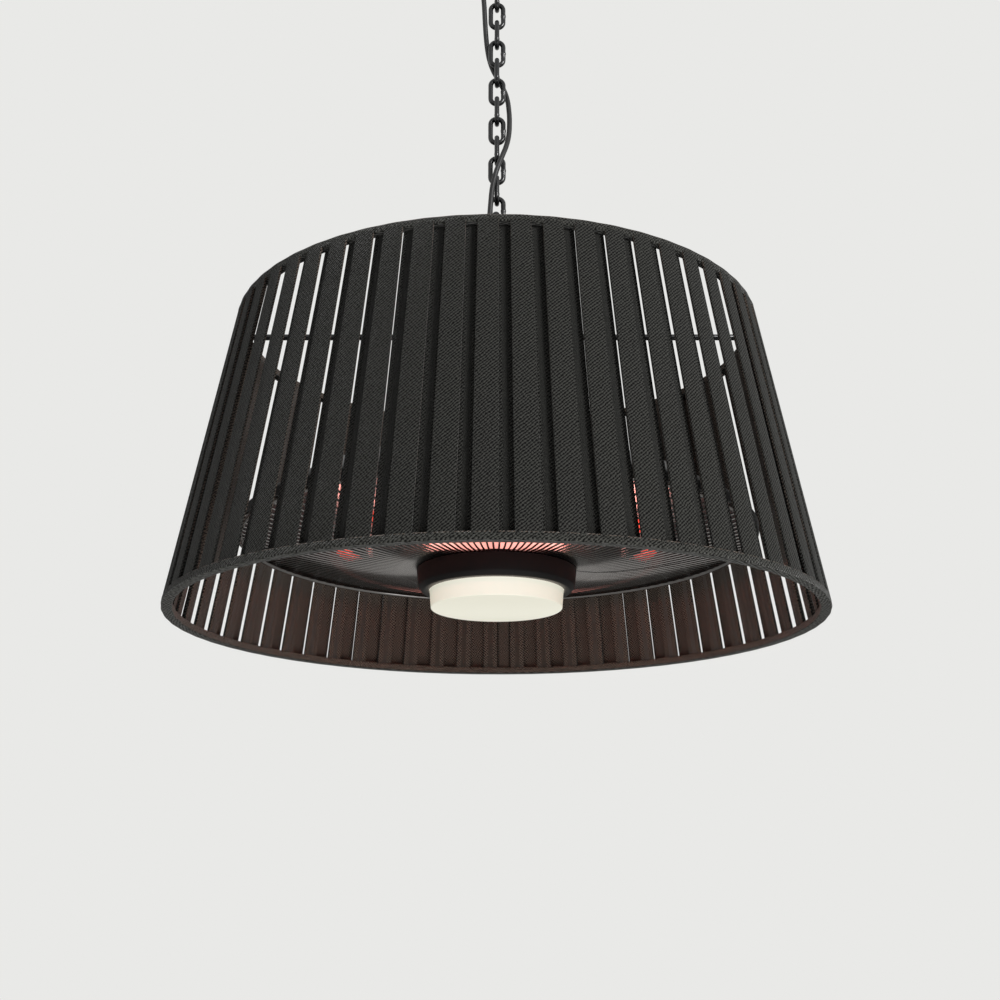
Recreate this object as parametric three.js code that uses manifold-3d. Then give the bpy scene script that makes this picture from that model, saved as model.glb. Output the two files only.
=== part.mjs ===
// Hanging patio heater: a tapered shade of two layers of straps, an electric ring heater with a
// wire guard, an LED lamp in its middle, and the chain and cable that it hangs on.
// Millimetres, +Z up. The origin is the middle of the ceiling plate's top face.

import * as THREE from 'three';
import { mergeVertices } from 'three/addons/utils/BufferGeometryUtils.js';
import Module from 'manifold-3d';

const wasm = await Module();
wasm.setup();

// Running clearance between pieces that meet, and the overrun of every cut
const GAP = 0.3;
const OVERRUN = 2;
const WELD = 0.4;

// Shade: outer sizes over the textile, and the straps that are woven round its two rings
const RIM_RADIUS = 300;
const TOP_RADIUS = 248.8;
const SHADE_HEIGHT = 282.6;
const STRAP_COUNT = 60;
const OUTER_STRAP_SHARE = 0.64;
const INNER_STRAP_SHARE = 0.5;
const STRAP_THICKNESS = 2.5;
const LAYER_SPACE = 4.2;
const RIM_BAND_HEIGHT = 11;
const STRAP_PHASE_SHARE = 0.242;
const RIB_COUNT = 6;
const RIB_WIDTH = 12;

// Crossed bars over the shade's top ring, and the hub in their middle
const BAR_DIAMETER = 6;
const HUB_RADIUS = 34;
const HUB_THICKNESS = 13;
const HUB_EDGE = 2.5;
const BAR_SOCKET_DEPTH = 9;
const HUB_CABLE_OFFSET = 14;
const HUB_CABLE_HOLE = 19;

// Chain of welded links
const LINK_COUNT = 17;
const LINK_WIRE = 5;
const LINK_WIDTH = 18;
const LINK_LENGTH = 33.2;
const LINK_SIDES = 6;
const LINK_STEPS = 10;

// Eye that the lowest link hangs on
const EYE_WIRE = 5;
const EYE_RADIUS = 10.5;
const EYE_SHANK_LENGTH = 44;
const EYE_RISE = 20;

// Threaded rod and nut that the hook, the eye and the lamp's stud share
const STUD_DIAMETER = 8;
const NUT_WIDTH = 13;
const NUT_HEIGHT = 5.5;

// Ceiling hook, plate, canopy and cable grip
const HOOK_RADIUS = 11;
const HOOK_WIRE = 5;
const HOOK_MOUTH_DEG = 75;
const HOOK_NECK = 12;
const HOOK_STEPS = 14;
const PLATE_RADIUS = 50;
const PLATE_THICKNESS = 4;
const PLATE_SCREW_HOLE = 6;
const PLATE_SCREW_SPACING = 64;
const PLATE_BOSS_RADIUS = 9;
const PLATE_BOSS_HEIGHT = 12;
const CANOPY_RADIUS = 54;
const CANOPY_DEPTH = 30;
const CANOPY_WALL = 1.5;
const CANOPY_CORNER = 12;
const CABLE_GRIP_OFFSET = 23;
const CABLE_GRIP_BORE = 20;
const CABLE_GRIP_WALL = 1.5;
const CABLE_GRIP_FLANGE = 2.5;
const CABLE_GRIP_NECK = 3;
const CABLE_GRIP_LENGTH = 12;

// Power cable and the lead inside the shade
const CABLE_DIAMETER = 5.2;
const CABLE_SIDES = 8;
const CABLE_STEPS = 31;
const LEAD_STEPS = 12;

// Stem that carries the heater and the lamp
const STEM_DIAMETER = 16;
const STEM_FLANGE_RADIUS = 24;
const STEM_FLANGE_THICKNESS = 4;
const STEM_NUT_WIDTH = 24;
const STEM_NUT_HEIGHT = 9;

// Heater housing: a spun steel pan with a bead at its edge
const HOUSING_WALL = 1.6;
const HOUSING_SHOULDER_MARGIN = 30;
const HOUSING_CROWN_MARGIN = 5;
const HOUSING_SHOULDER_DROP = 12;
const HOUSING_EDGE_RISE = 13;
const HOUSING_BEAD = 5;

// Reflector: a dished ring of polished aluminium
const REFLECTOR_WALL = 1.2;
const REFLECTOR_CROWN_RISE = 36;
const REFLECTOR_FLAT = 40;

// Heating tube: most of a ring, with both ends turned up through the reflector
const TUBE_RING_RADIUS = 146;
const TUBE_DIAMETER = 11;
const TUBE_HEIGHT = 72;
const TUBE_GAP_DEG = 24;
const TUBE_BEND_DEG = 5;
const TUBE_SIDES = 6;
const TUBE_STEPS = 40;
const TUBE_PLAY = 0.9;
const END_CAP_DIAMETER = 20;
const END_CAP_HEIGHT = 13;
const CLIP_COUNT = 3;
const CLIP_WALL = 1.2;
const CLIP_WIDTH = 7;
const CLIP_STEM = 4;

// Wire guard
const GUARD_WIRES = 120;
const GUARD_WIRE = 1.8;
const GUARD_OVERHANG = 90;
const GUARD_BEND_INSET = 14;
const GUARD_TUBE_CLEARANCE = 20.7;
const GUARD_RING_WIRE = 6;
const GUARD_RING_HEIGHT = 74;
const GUARD_RING_SIDES = 6;
const GUARD_HUB_SIDES = 4;
const GUARD_HUB_RADIUS = 67;
const GUARD_HUB_WIRE = 3.6;

// LED lamp
const COLLAR_RADIUS = 74;
const COLLAR_HEIGHT = 20;
const COLLAR_WALL = 3;
const COLLAR_BOTTOM = 29;
const COLLAR_CHAMFER = 4;
const COLLAR_TAPER = 1.8;
const DIFFUSER_RADIUS = 62;
const DIFFUSER_FOOT_RADIUS = 60.5;
const DIFFUSER_BOTTOM = 13;
const DIFFUSER_WALL = 2;
const DIFFUSER_CORNER = 5;
const DIFFUSER_FLANGE = 3.5;
const HEAT_SINK_RADIUS = 58;
const HEAT_SINK_THICKNESS = 4;
const BOARD_RADIUS = 54;
const BOARD_THICKNESS = 1.6;
const DRIVER_SIZE = [70, 28, 20];
const DRIVER_OFFSET = 36;

// Terminal box on the housing
const BOX_SIZE = [90, 56, 28];
const BOX_WALL = 2;
const BOX_OFFSET = 78;
const LID_THICKNESS = 2.5;
const TERMINAL_SIZE = [34, 20, 13];
const GLAND_THREAD = 12;
const GLAND_FLANGE = 18;
const GLAND_HEIGHT = 12;
const GLAND_OFFSET = 18;

// Faces round the turned pieces
const ROUND = 32;
const MIDDLE_ROUND = 24;
const SMALL_ROUND = 12;

// Places above the rim plane, worked out from the sizes above
const guardRingRadius = TUBE_RING_RADIUS + GUARD_OVERHANG;
const linkEnd = (LINK_WIDTH - LINK_WIRE) / 2;
const linkStraight = (LINK_LENGTH - LINK_WIDTH) / 2;
const linkContact = LINK_WIRE + GAP;
const linkPitch = LINK_LENGTH - LINK_WIRE - linkContact;
const barZ = SHADE_HEIGHT - STRAP_THICKNESS + GAP + BAR_DIAMETER / 2;
const hubTop = barZ + HUB_THICKNESS / 2;
const hubBottom = barZ - HUB_THICKNESS / 2;
const eyeZ = hubTop + EYE_RISE;
const eyeTopWire = eyeZ + EYE_RADIUS;
const lowestLinkWire = eyeTopWire - (EYE_WIRE + LINK_WIRE) / 2 - GAP;
const lowestLinkCentre = lowestLinkWire + (LINK_LENGTH - LINK_WIRE) / 2;
const linkCentre = (index) => lowestLinkCentre + (LINK_COUNT - index) * linkPitch;
const highestLinkWire = linkCentre(1) + (LINK_LENGTH - LINK_WIRE) / 2;
const hookWireZ = highestLinkWire - (LINK_WIRE + HOOK_WIRE) / 2 - GAP;
const hookZ = hookWireZ + HOOK_RADIUS;
const gripNeck = CABLE_GRIP_BORE / 2 + CABLE_GRIP_WALL;
const canopyBottom = hookZ + HOOK_RADIUS + HOOK_NECK + NUT_HEIGHT;
const plateTop = canopyBottom + CANOPY_DEPTH + PLATE_THICKNESS;

const collarTop = COLLAR_BOTTOM + COLLAR_HEIGHT;
const collarCeiling = collarTop - COLLAR_WALL;
const guardHubHeight = collarTop + GAP + GUARD_HUB_WIRE / 2;
const heatSinkBottom = collarCeiling - GAP - HEAT_SINK_THICKNESS;
const stemFoot = collarTop + GAP;
const studFoot = heatSinkBottom - GAP - NUT_HEIGHT - GAP;
const crownHeight = TUBE_HEIGHT + REFLECTOR_CROWN_RISE;
const capBottom = crownHeight + REFLECTOR_WALL + GAP;
const housingCeiling = capBottom + END_CAP_HEIGHT + GAP;
const housingTop = housingCeiling + HOUSING_WALL;
const housingSeat = housingTop + GAP;
const housingRadius = guardRingRadius + GUARD_RING_WIRE / 2 + GAP + HOUSING_WALL;
const guardRingTop = GUARD_RING_HEIGHT + GUARD_RING_WIRE / 2 / Math.cos(Math.PI / GUARD_RING_SIDES);

// Power cable: points chosen by hand, measured from the middle of the rim plane
const CABLE_ROUTE = [
  [-14, -14, 284], [-14, -14, 300], [-13.4, -13, 325], [-12, -10.8, 352], [-9.8, -8.6, 380],
  [-7.6, -7.4, 405], [-6.2, -7.8, 425], [-4.6, -10.2, 441], [-1.8, -12.4, 454], [1.8, -12.9, 466],
  [5.8, -11, 478], [9.6, -7.2, 491], [12, -3.2, 505], [12.9, 0, 521], [12.4, 3.2, 538],
  [10.8, 6.6, 553], [8, 9.8, 565], [4.2, 12, 575], [0, 12.7, 584], [-4, 11.6, 592],
  [-7.4, 9.4, 601], [-9.8, 6.6, 612], [-11.4, 4, 626], [-12.6, 2, 644], [-13.6, 0.8, 664],
  [-15.4, 0.2, 684], [-19, 0, 704], [-22, 0, 724], [-23, 0, 740],
];

// Helpers: solids in and out of the boolean library, and the few forms that repeat

function toSolid(geometry) {
  const bare = geometry.clone();
  bare.deleteAttribute('normal');
  bare.deleteAttribute('uv');
  const merged = mergeVertices(bare);
  return new wasm.Manifold(new wasm.Mesh({
    numProp: 3,
    vertProperties: new Float32Array(merged.attributes.position.array),
    triVerts: new Uint32Array(merged.index.array),
  }));
}

function toGeometry(solid) {
  const mesh = solid.getMesh();
  const indexed = new THREE.BufferGeometry();
  indexed.setAttribute('position', new THREE.BufferAttribute(mesh.vertProperties, 3));
  indexed.setIndex(new THREE.BufferAttribute(mesh.triVerts, 1));
  const geometry = indexed.toNonIndexed();
  geometry.computeVertexNormals();
  return geometry;
}

function joined(geometries) {
  const solids = geometries.map(toSolid);
  return toGeometry(solids.reduce((sum, solid) => sum.add(solid)));
}

function cut(geometry, cutters) {
  const tools = cutters.map(toSolid);
  return toGeometry(tools.reduce((rest, tool) => rest.subtract(tool), toSolid(geometry)));
}

// A closed outline of [radius, height] points turned about Z, run so that its faces look outwards
function turned(outline, sides, startAngle) {
  const points = outline.map(([r, z]) => new THREE.Vector2(r, z));
  if (THREE.ShapeUtils.area(points) < 0) points.reverse();
  points.push(points[0].clone());
  return new THREE.LatheGeometry(points, sides, startAngle || 0).rotateX(Math.PI / 2);
}

function washer(radius, bore, bottom, top, sides) {
  return turned([[bore, bottom], [radius, bottom], [radius, top], [bore, top]], sides);
}

function disc(radius, bottom, top, sides) {
  const length = top - bottom;
  const solid = new THREE.CylinderGeometry(radius, radius, length, sides).rotateX(Math.PI / 2);
  return solid.translate(0, 0, bottom + length / 2);
}

function box(size, centre) {
  return new THREE.BoxGeometry(...size).translate(...centre);
}

// A hexagonal nut with its bore, standing from bottom upwards
function nut(width, bore, bottom, height) {
  const hexagon = new THREE.Shape();
  const corner = width / Math.sqrt(3);
  for (let side = 0; side < 6; side += 1) {
    const angle = (side * Math.PI) / 3;
    const point = [corner * Math.cos(angle), corner * Math.sin(angle)];
    if (side === 0) hexagon.moveTo(...point);
    else hexagon.lineTo(...point);
  }
  hexagon.closePath();
  const hole = new THREE.Path();
  hole.absarc(0, 0, bore / 2, 0, Math.PI * 2, true);
  hexagon.holes.push(hole);
  const settings = { depth: height, bevelEnabled: false, curveSegments: SMALL_ROUND / 2 };
  return new THREE.ExtrudeGeometry(hexagon, settings).translate(0, 0, bottom);
}

// The nut that the hook, the eye and the lamp's stud share
function studNut(bottom) {
  return nut(NUT_WIDTH, STUD_DIAMETER + GAP * 2, bottom, NUT_HEIGHT);
}

// A round wire or cable of a given number of flat sides along a curve
function wire(curve, diameter, sides, steps) {
  const section = new THREE.Shape();
  for (let side = 0; side < sides; side += 1) {
    const angle = (side * Math.PI * 2) / sides;
    const point = [(diameter / 2) * Math.cos(angle), (diameter / 2) * Math.sin(angle)];
    if (side === 0) section.moveTo(...point);
    else section.lineTo(...point);
  }
  section.closePath();
  return new THREE.ExtrudeGeometry(section, { extrudePath: curve, steps, bevelEnabled: false });
}

// A wire of triangular section, without twist, through [x, z] points in the XZ plane
function bentWire(points, diameter) {
  const corners = [0, 1, 2].map((corner) => {
    const angle = Math.PI / 2 - (corner * Math.PI * 2) / 3;
    return [(diameter / 2) * Math.cos(angle), (diameter / 2) * Math.sin(angle)];
  });
  const rings = points.map(([x, z]) => corners.map(([side, up]) => [x, side, z + up]));
  const positions = [];
  const triangle = (a, b, c) => positions.push(...a, ...b, ...c);
  triangle(...rings[0]);
  rings.slice(1).forEach((ring, index) => corners.forEach((corner, side) => {
    const other = (side + 1) % corners.length;
    triangle(rings[index][side], ring[side], ring[other]);
    triangle(rings[index][side], ring[other], rings[index][other]);
  }));
  triangle(...rings[rings.length - 1].slice().reverse());
  const geometry = new THREE.BufferGeometry();
  geometry.setAttribute('position', new THREE.Float32BufferAttribute(positions, 3));
  geometry.computeVertexNormals();
  return geometry;
}

function curveThrough(points) {
  return new THREE.CatmullRomCurve3(points.map((point) => new THREE.Vector3(...point)));
}

const materials = {
  steel: { color: 0x17181a, roughness: 0.35, metalness: 0.6 },
  textile: { color: 0x3b3b39, roughness: 0.95, metalness: 0 },
  aluminium: { color: 0xc9cacc, roughness: 0.22, metalness: 1 },
  enamel: { color: 0x1c1c1d, roughness: 0.5, metalness: 0.2 },
  hot: { color: 0xff4a1c, roughness: 0.4, metalness: 0 },
  ceramic: { color: 0xe6e0d2, roughness: 0.7, metalness: 0 },
  opal: { color: 0xece9db, roughness: 0.35, metalness: 0 },
  cable: { color: 0x111112, roughness: 0.55, metalness: 0 },
  plastic: { color: 0x1a1a1b, roughness: 0.45, metalness: 0 },
  board: { color: 0xe9ebe6, roughness: 0.6, metalness: 0 },
};

const group = new THREE.Group();
const hanging = new THREE.Group();
hanging.position.z = -plateTop;
group.add(hanging);

function place(name, geometry, finish) {
  const mesh = new THREE.Mesh(geometry, new THREE.MeshStandardMaterial(materials[finish]));
  mesh.name = name;
  hanging.add(mesh);
  return mesh;
}

// Ceiling plate: a disc with a blind boss that the hook screws into, and two screw holes
function ceilingPlate() {
  const plateFoot = plateTop - PLATE_THICKNESS;
  const bossFoot = plateFoot - PLATE_BOSS_HEIGHT;
  const plate = disc(PLATE_RADIUS, plateFoot, plateTop, MIDDLE_ROUND);
  const boss = disc(PLATE_BOSS_RADIUS, bossFoot, plateFoot + WELD, SMALL_ROUND);
  const bore = disc(STUD_DIAMETER / 2 + GAP, bossFoot - OVERRUN, plateFoot, SMALL_ROUND);
  const holes = [-1, 1].map((side) => {
    const hole = disc(PLATE_SCREW_HOLE / 2, plateFoot - OVERRUN, plateTop + OVERRUN, SMALL_ROUND);
    return hole.translate(0, (side * PLATE_SCREW_SPACING) / 2, 0);
  });
  return cut(joined([plate, boss]), [bore, ...holes]);
}

// Canopy: a drawn steel cup that the nut on the hook's shank holds up against the ceiling
function ceilingCanopy() {
  const inner = CANOPY_RADIUS - CANOPY_WALL;
  const bore = STUD_DIAMETER / 2 + GAP;
  const corner = (radius) => [0, 1, 2].map((step) => {
    const angle = (step * Math.PI) / 4;
    const centre = [CANOPY_RADIUS - CANOPY_CORNER, canopyBottom + CANOPY_CORNER];
    return [centre[0] + radius * Math.sin(angle), centre[1] - radius * Math.cos(angle)];
  });
  const outline = [
    [bore, canopyBottom],
    ...corner(CANOPY_CORNER),
    [CANOPY_RADIUS, plateTop],
    [inner, plateTop],
    ...corner(CANOPY_CORNER - CANOPY_WALL).reverse(),
    [bore, canopyBottom + CANOPY_WALL],
  ];
  const hole = disc(
    gripNeck + GAP, canopyBottom - OVERRUN, canopyBottom + CANOPY_WALL + OVERRUN, SMALL_ROUND,
  );
  return cut(turned(outline, MIDDLE_ROUND), [hole.translate(-CABLE_GRIP_OFFSET, 0, 0)]);
}

// Cable grip: a flanged rubber sleeve in the canopy, wide enough for the cable to move with the chain
function cableGrip() {
  const bore = CABLE_GRIP_BORE / 2;
  const seat = canopyBottom - GAP;
  const neckTop = canopyBottom + CANOPY_WALL + CABLE_GRIP_NECK;
  const foot = seat - CABLE_GRIP_LENGTH;
  const outline = [
    [bore, neckTop],
    [bore, foot + CABLE_GRIP_WALL],
    [bore + CABLE_GRIP_WALL / 2, foot],
    [gripNeck, foot],
    [gripNeck + CABLE_GRIP_FLANGE, seat],
    [gripNeck, seat],
    [gripNeck, neckTop],
  ];
  return turned(outline, SMALL_ROUND).translate(-CABLE_GRIP_OFFSET, 0, 0);
}

// Ceiling hook: a bent steel rod in the YZ plane, open at one side, with a straight shank
function ceilingHook() {
  const points = [];
  const mouth = THREE.MathUtils.degToRad(HOOK_MOUTH_DEG);
  const sweep = Math.PI * 2 - mouth;
  for (let step = 0; step <= HOOK_STEPS; step += 1) {
    const angle = Math.PI / 2 - (sweep * step) / HOOK_STEPS;
    points.push([0, HOOK_RADIUS * Math.cos(angle), hookZ + HOOK_RADIUS * Math.sin(angle)]);
  }
  const bow = wire(curveThrough(points), HOOK_WIRE, LINK_SIDES, HOOK_STEPS);
  const shankFoot = hookZ + HOOK_RADIUS - HOOK_WIRE / 2;
  const shankTop = plateTop - PLATE_THICKNESS - GAP;
  const shank = disc(STUD_DIAMETER / 2, shankFoot, shankTop, SMALL_ROUND);
  return joined([bow, shank]);
}

// Chain link: a ring of round wire pulled apart at its middle. Odd links lie in the XZ plane.
function chainLink(index) {
  const geometry = new THREE.TorusGeometry(linkEnd, LINK_WIRE / 2, LINK_SIDES, LINK_STEPS);
  geometry.rotateZ(Math.PI / LINK_STEPS);
  const corners = geometry.attributes.position;
  for (let vertex = 0; vertex < corners.count; vertex += 1) {
    const y = corners.getY(vertex);
    corners.setY(vertex, y + Math.sign(y) * linkStraight);
  }
  geometry.rotateX(Math.PI / 2);
  if (index % 2 === 0) geometry.rotateZ(Math.PI / 2);
  return geometry;
}

// Eye with its threaded shank, which goes through the hub into the stem
function eyeBolt() {
  const ring = new THREE.TorusGeometry(EYE_RADIUS, EYE_WIRE / 2, LINK_SIDES, SMALL_ROUND);
  ring.rotateX(Math.PI / 2).rotateZ(Math.PI / 2).translate(0, 0, eyeZ);
  const shankTop = eyeZ - EYE_RADIUS;
  const shank = disc(STUD_DIAMETER / 2, shankTop - EYE_SHANK_LENGTH, shankTop, SMALL_ROUND);
  return joined([ring, shank]);
}

// Hub: a turned disc with sockets for the crossed bars, the eye's hole and the cable's hole
function hub() {
  const bore = STUD_DIAMETER / 2 + GAP;
  const outline = [
    [bore, hubBottom],
    [HUB_RADIUS - HUB_EDGE, hubBottom],
    [HUB_RADIUS, hubBottom + HUB_EDGE],
    [HUB_RADIUS, hubTop - HUB_EDGE],
    [HUB_RADIUS - HUB_EDGE, hubTop],
    [bore, hubTop],
  ];
  const socketInner = HUB_RADIUS - BAR_SOCKET_DEPTH;
  const socket = disc(BAR_DIAMETER / 2 + GAP, socketInner, HUB_RADIUS + OVERRUN, SMALL_ROUND / 2);
  socket.rotateY(Math.PI / 2).translate(0, 0, barZ);
  const sockets = [0, 1, 2, 3].map((turn) => socket.clone().rotateZ((turn * Math.PI) / 2));
  const cableHole = disc(HUB_CABLE_HOLE / 2, hubBottom - OVERRUN, hubTop + OVERRUN, SMALL_ROUND);
  cableHole.translate(-HUB_CABLE_OFFSET, -HUB_CABLE_OFFSET, 0);
  return cut(turned(outline, MIDDLE_ROUND), [...sockets, cableHole]);
}

// Radius of the shade's outer face at a height above the rim plane
function shadeRadius(z) {
  return RIM_RADIUS - ((RIM_RADIUS - TOP_RADIUS) * z) / SHADE_HEIGHT;
}

const strapAngle = (Math.PI * 2) / STRAP_COUNT;
const strapPhase = STRAP_PHASE_SHARE * strapAngle;
const ringSag = RIM_RADIUS * (1 - Math.cos(strapAngle / 2));
const strapSag = RIM_RADIUS * (1 - Math.cos((strapAngle * OUTER_STRAP_SHARE) / 2));
const innerFront = STRAP_THICKNESS + LAYER_SPACE;
const ringFront = STRAP_THICKNESS + strapSag + GAP;
const ringBack = innerFront - GAP - ringSag;
const ringTop = SHADE_HEIGHT - STRAP_THICKNESS;

// One layer of straps between two bands. It is laid out at both edges of every strap: along a strap
// its two faces run from band to band, and along a window each band closes on itself.
function strapLayer(front, top, strapShare, middleAngle) {
  const heights = [0, RIM_BAND_HEIGHT, SHADE_HEIGHT - RIM_BAND_HEIGHT, top];
  const halfStrap = (strapAngle * strapShare) / 2;
  const positions = [];
  const stations = [];
  for (let strap = 0; strap < STRAP_COUNT; strap += 1) {
    const middle = middleAngle + strap * strapAngle;
    for (const angle of [middle - halfStrap, middle + halfStrap]) {
      const column = [front, front + STRAP_THICKNESS].map((depth) => heights.map((z) => {
        const radius = shadeRadius(z) - depth;
        return [radius * Math.sin(angle), -radius * Math.cos(angle), z];
      }));
      stations.push({ face: column[0], back: column[1] });
    }
  }
  const quad = (a, b, c, d) => positions.push(...a, ...b, ...c, ...a, ...c, ...d);
  stations.forEach((here, index) => {
    const next = stations[(index + 1) % stations.length];
    const isStrap = index % 2 === 0;
    const upright = (low, high) => {
      quad(here.face[low], next.face[low], next.face[high], here.face[high]);
      quad(next.back[low], here.back[low], here.back[high], next.back[high]);
    };
    const above = (level) => quad(here.face[level], next.face[level], next.back[level], here.back[level]);
    const below = (level) => quad(here.back[level], next.back[level], next.face[level], here.face[level]);
    upright(0, 1);
    upright(2, 3);
    below(0);
    above(3);
    if (isStrap) {
      upright(1, 2);
      quad(here.back[1], here.face[1], here.face[2], here.back[2]);
      quad(next.face[1], next.back[1], next.back[2], next.face[2]);
    } else {
      above(1);
      below(2);
    }
  });
  const geometry = new THREE.BufferGeometry();
  geometry.setAttribute('position', new THREE.Float32BufferAttribute(positions, 3));
  geometry.computeVertexNormals();
  return geometry;
}

// Outer straps, whose bands are the covered rims
function outerStraps() {
  return strapLayer(0, SHADE_HEIGHT, OUTER_STRAP_SHARE, -strapPhase);
}

// Inner straps, half a step round, behind the windows of the outer ones
function innerStraps() {
  return strapLayer(innerFront, ringTop, INNER_STRAP_SHARE, strapAngle / 2 - strapPhase);
}

const barEnd = TOP_RADIUS - STRAP_THICKNESS - strapSag - GAP;

// Shade frame: top ring, bottom ring and the flat ribs that join them between the two layers
function shadeFrame() {
  const ring = (bottom, top) => turned([
    [shadeRadius(bottom) - ringFront, bottom],
    [shadeRadius(top) - ringFront, top],
    [shadeRadius(top) - ringBack, top],
    [shadeRadius(bottom) - ringBack, bottom],
  ], STRAP_COUNT, strapAngle / 2 - strapPhase);
  const rings = [ring(STRAP_THICKNESS, RIM_BAND_HEIGHT), ring(SHADE_HEIGHT - RIM_BAND_HEIGHT, ringTop)];
  const low = STRAP_THICKNESS + WELD;
  const high = ringTop - WELD;
  const front = ringFront + ringSag + WELD;
  const back = ringBack + ringSag - WELD;
  const ribs = [];
  for (let index = 0; index < RIB_COUNT; index += 1) {
    const side = new THREE.Shape();
    side.moveTo(shadeRadius(low) - front, low);
    side.lineTo(shadeRadius(high) - front, high);
    side.lineTo(shadeRadius(high) - back, high);
    side.lineTo(shadeRadius(low) - back, low);
    side.closePath();
    const rib = new THREE.ExtrudeGeometry(side, { depth: RIB_WIDTH, bevelEnabled: false });
    rib.translate(0, 0, -RIB_WIDTH / 2).rotateX(Math.PI / 2);
    const turn = strapAngle * Math.round(STRAP_COUNT / RIB_COUNT) * index;
    ribs.push(rib.rotateZ(-strapPhase - Math.PI / 2 + turn));
  }
  return joined([...rings, ...ribs]);
}

// One straight bar across the shade, interrupted where the hub takes its two ends
function spiderBar(turn, side) {
  const inner = HUB_RADIUS - BAR_SOCKET_DEPTH + GAP;
  const bar = disc(BAR_DIAMETER / 2, inner, barEnd, SMALL_ROUND / 2);
  return bar.rotateY(Math.PI / 2).rotateZ(turn + side * Math.PI).translate(0, 0, barZ);
}

// Stem: a tube with a flange that the housing hangs under, and a stud at its foot for the lamp
function stem() {
  const top = hubBottom - GAP;
  const radius = STEM_DIAMETER / 2;
  const bore = STUD_DIAMETER / 2 + GAP;
  const boreFoot = eyeZ - EYE_RADIUS - EYE_SHANK_LENGTH - GAP;
  const flangeBottom = housingSeat;
  const flangeTop = flangeBottom + STEM_FLANGE_THICKNESS;
  const outline = [
    [0, studFoot],
    [STUD_DIAMETER / 2, studFoot],
    [STUD_DIAMETER / 2, stemFoot],
    [radius, stemFoot],
    [radius, flangeBottom],
    [STEM_FLANGE_RADIUS, flangeBottom],
    [STEM_FLANGE_RADIUS, flangeTop],
    [radius, flangeTop + STEM_FLANGE_THICKNESS],
    [radius, top],
    [bore, top],
    [bore, boreFoot],
    [0, boreFoot],
  ];
  return turnedOnAxis(outline, SMALL_ROUND);
}

// An outline that starts and ends on the axis, turned about Z
function turnedOnAxis(outline, sides) {
  const points = outline.map(([r, z]) => new THREE.Vector2(r, z));
  return new THREE.LatheGeometry(points, sides).rotateX(Math.PI / 2);
}

// Nut under the housing, on the stem
function stemNut() {
  const bottom = housingCeiling - GAP - STEM_NUT_HEIGHT;
  return nut(STEM_NUT_WIDTH, STEM_DIAMETER + GAP * 2, bottom, STEM_NUT_HEIGHT);
}

// Housing: a spun pan, open below, with a thick bead at its edge and a hole for the stem
function heaterHousing() {
  const wall = HOUSING_WALL;
  const bore = STEM_DIAMETER / 2 + GAP;
  const edge = GUARD_RING_HEIGHT;
  const edgeTop = edge + HOUSING_EDGE_RISE;
  const shoulder = TUBE_RING_RADIUS + REFLECTOR_FLAT / 2 + HOUSING_SHOULDER_MARGIN;
  const crown = TUBE_RING_RADIUS + END_CAP_DIAMETER / 2 + HOUSING_CROWN_MARGIN;
  const outline = [
    [bore, housingTop],
    [crown, housingTop],
    [shoulder, housingTop - HOUSING_SHOULDER_DROP],
    [housingRadius - HOUSING_BEAD, edgeTop],
    [housingRadius, edgeTop - HOUSING_BEAD],
    [housingRadius, edge],
    [housingRadius - wall, edge],
    [housingRadius - wall, edgeTop - HOUSING_BEAD - wall / 2],
    [housingRadius - HOUSING_BEAD - wall / 2, edgeTop - wall],
    [shoulder - wall / 2, housingTop - HOUSING_SHOULDER_DROP - wall],
    [crown - wall / 2, housingCeiling],
    [bore, housingCeiling],
  ];
  return turned(outline, ROUND);
}

// Points of the reflector's dish between its foot and the flat over the tube, and on to its lip:
// shares of the way in to the crown, and of the way up to it
const dishInnerShares = [[0, 0], [0.05, 0.5], [0.4, 0.88]];
const dishOuterShares = [[0.45, 0.62], [0, 0]];

// Reflector: a dished ring round the lamp, pierced for the two ends of the heating tube
function reflector() {
  const foot = [GUARD_HUB_RADIUS, guardHubHeight + GUARD_HUB_WIRE / 2 + GAP];
  const lip = [guardRingRadius, guardRingTop + GAP];
  const flatStart = TUBE_RING_RADIUS - REFLECTOR_FLAT / 2;
  const flatEnd = TUBE_RING_RADIUS + REFLECTOR_FLAT / 2;
  const along = ([r, z], target) => ([across, up]) => [
    r + (target - r) * across, z + (crownHeight - z) * up,
  ];
  const dish = [
    ...dishInnerShares.map(along(foot, flatStart)),
    [flatStart, crownHeight],
    [flatEnd, crownHeight],
    ...dishOuterShares.map(along(lip, flatEnd)),
  ];
  const outline = [...dish, ...dish.map(([r, z]) => [r, z + REFLECTOR_WALL]).reverse()];
  const holes = tubeEnds().map(([x, y]) => {
    const top = crownHeight + REFLECTOR_WALL + OVERRUN;
    const hole = disc(TUBE_DIAMETER / 2 + TUBE_PLAY, crownHeight - OVERRUN, top, SMALL_ROUND);
    return hole.translate(x, y, 0);
  });
  return cut(turned(outline, ROUND), holes);
}

// The two places, at the back of the ring, where the heating tube turns up
function tubeEnds() {
  const half = THREE.MathUtils.degToRad(TUBE_GAP_DEG / 2);
  return [-1, 1].map((side) => {
    const angle = Math.PI / 2 + side * half;
    return [TUBE_RING_RADIUS * Math.cos(angle), TUBE_RING_RADIUS * Math.sin(angle)];
  });
}

const tubeTop = capBottom + END_CAP_HEIGHT / 2;

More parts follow.
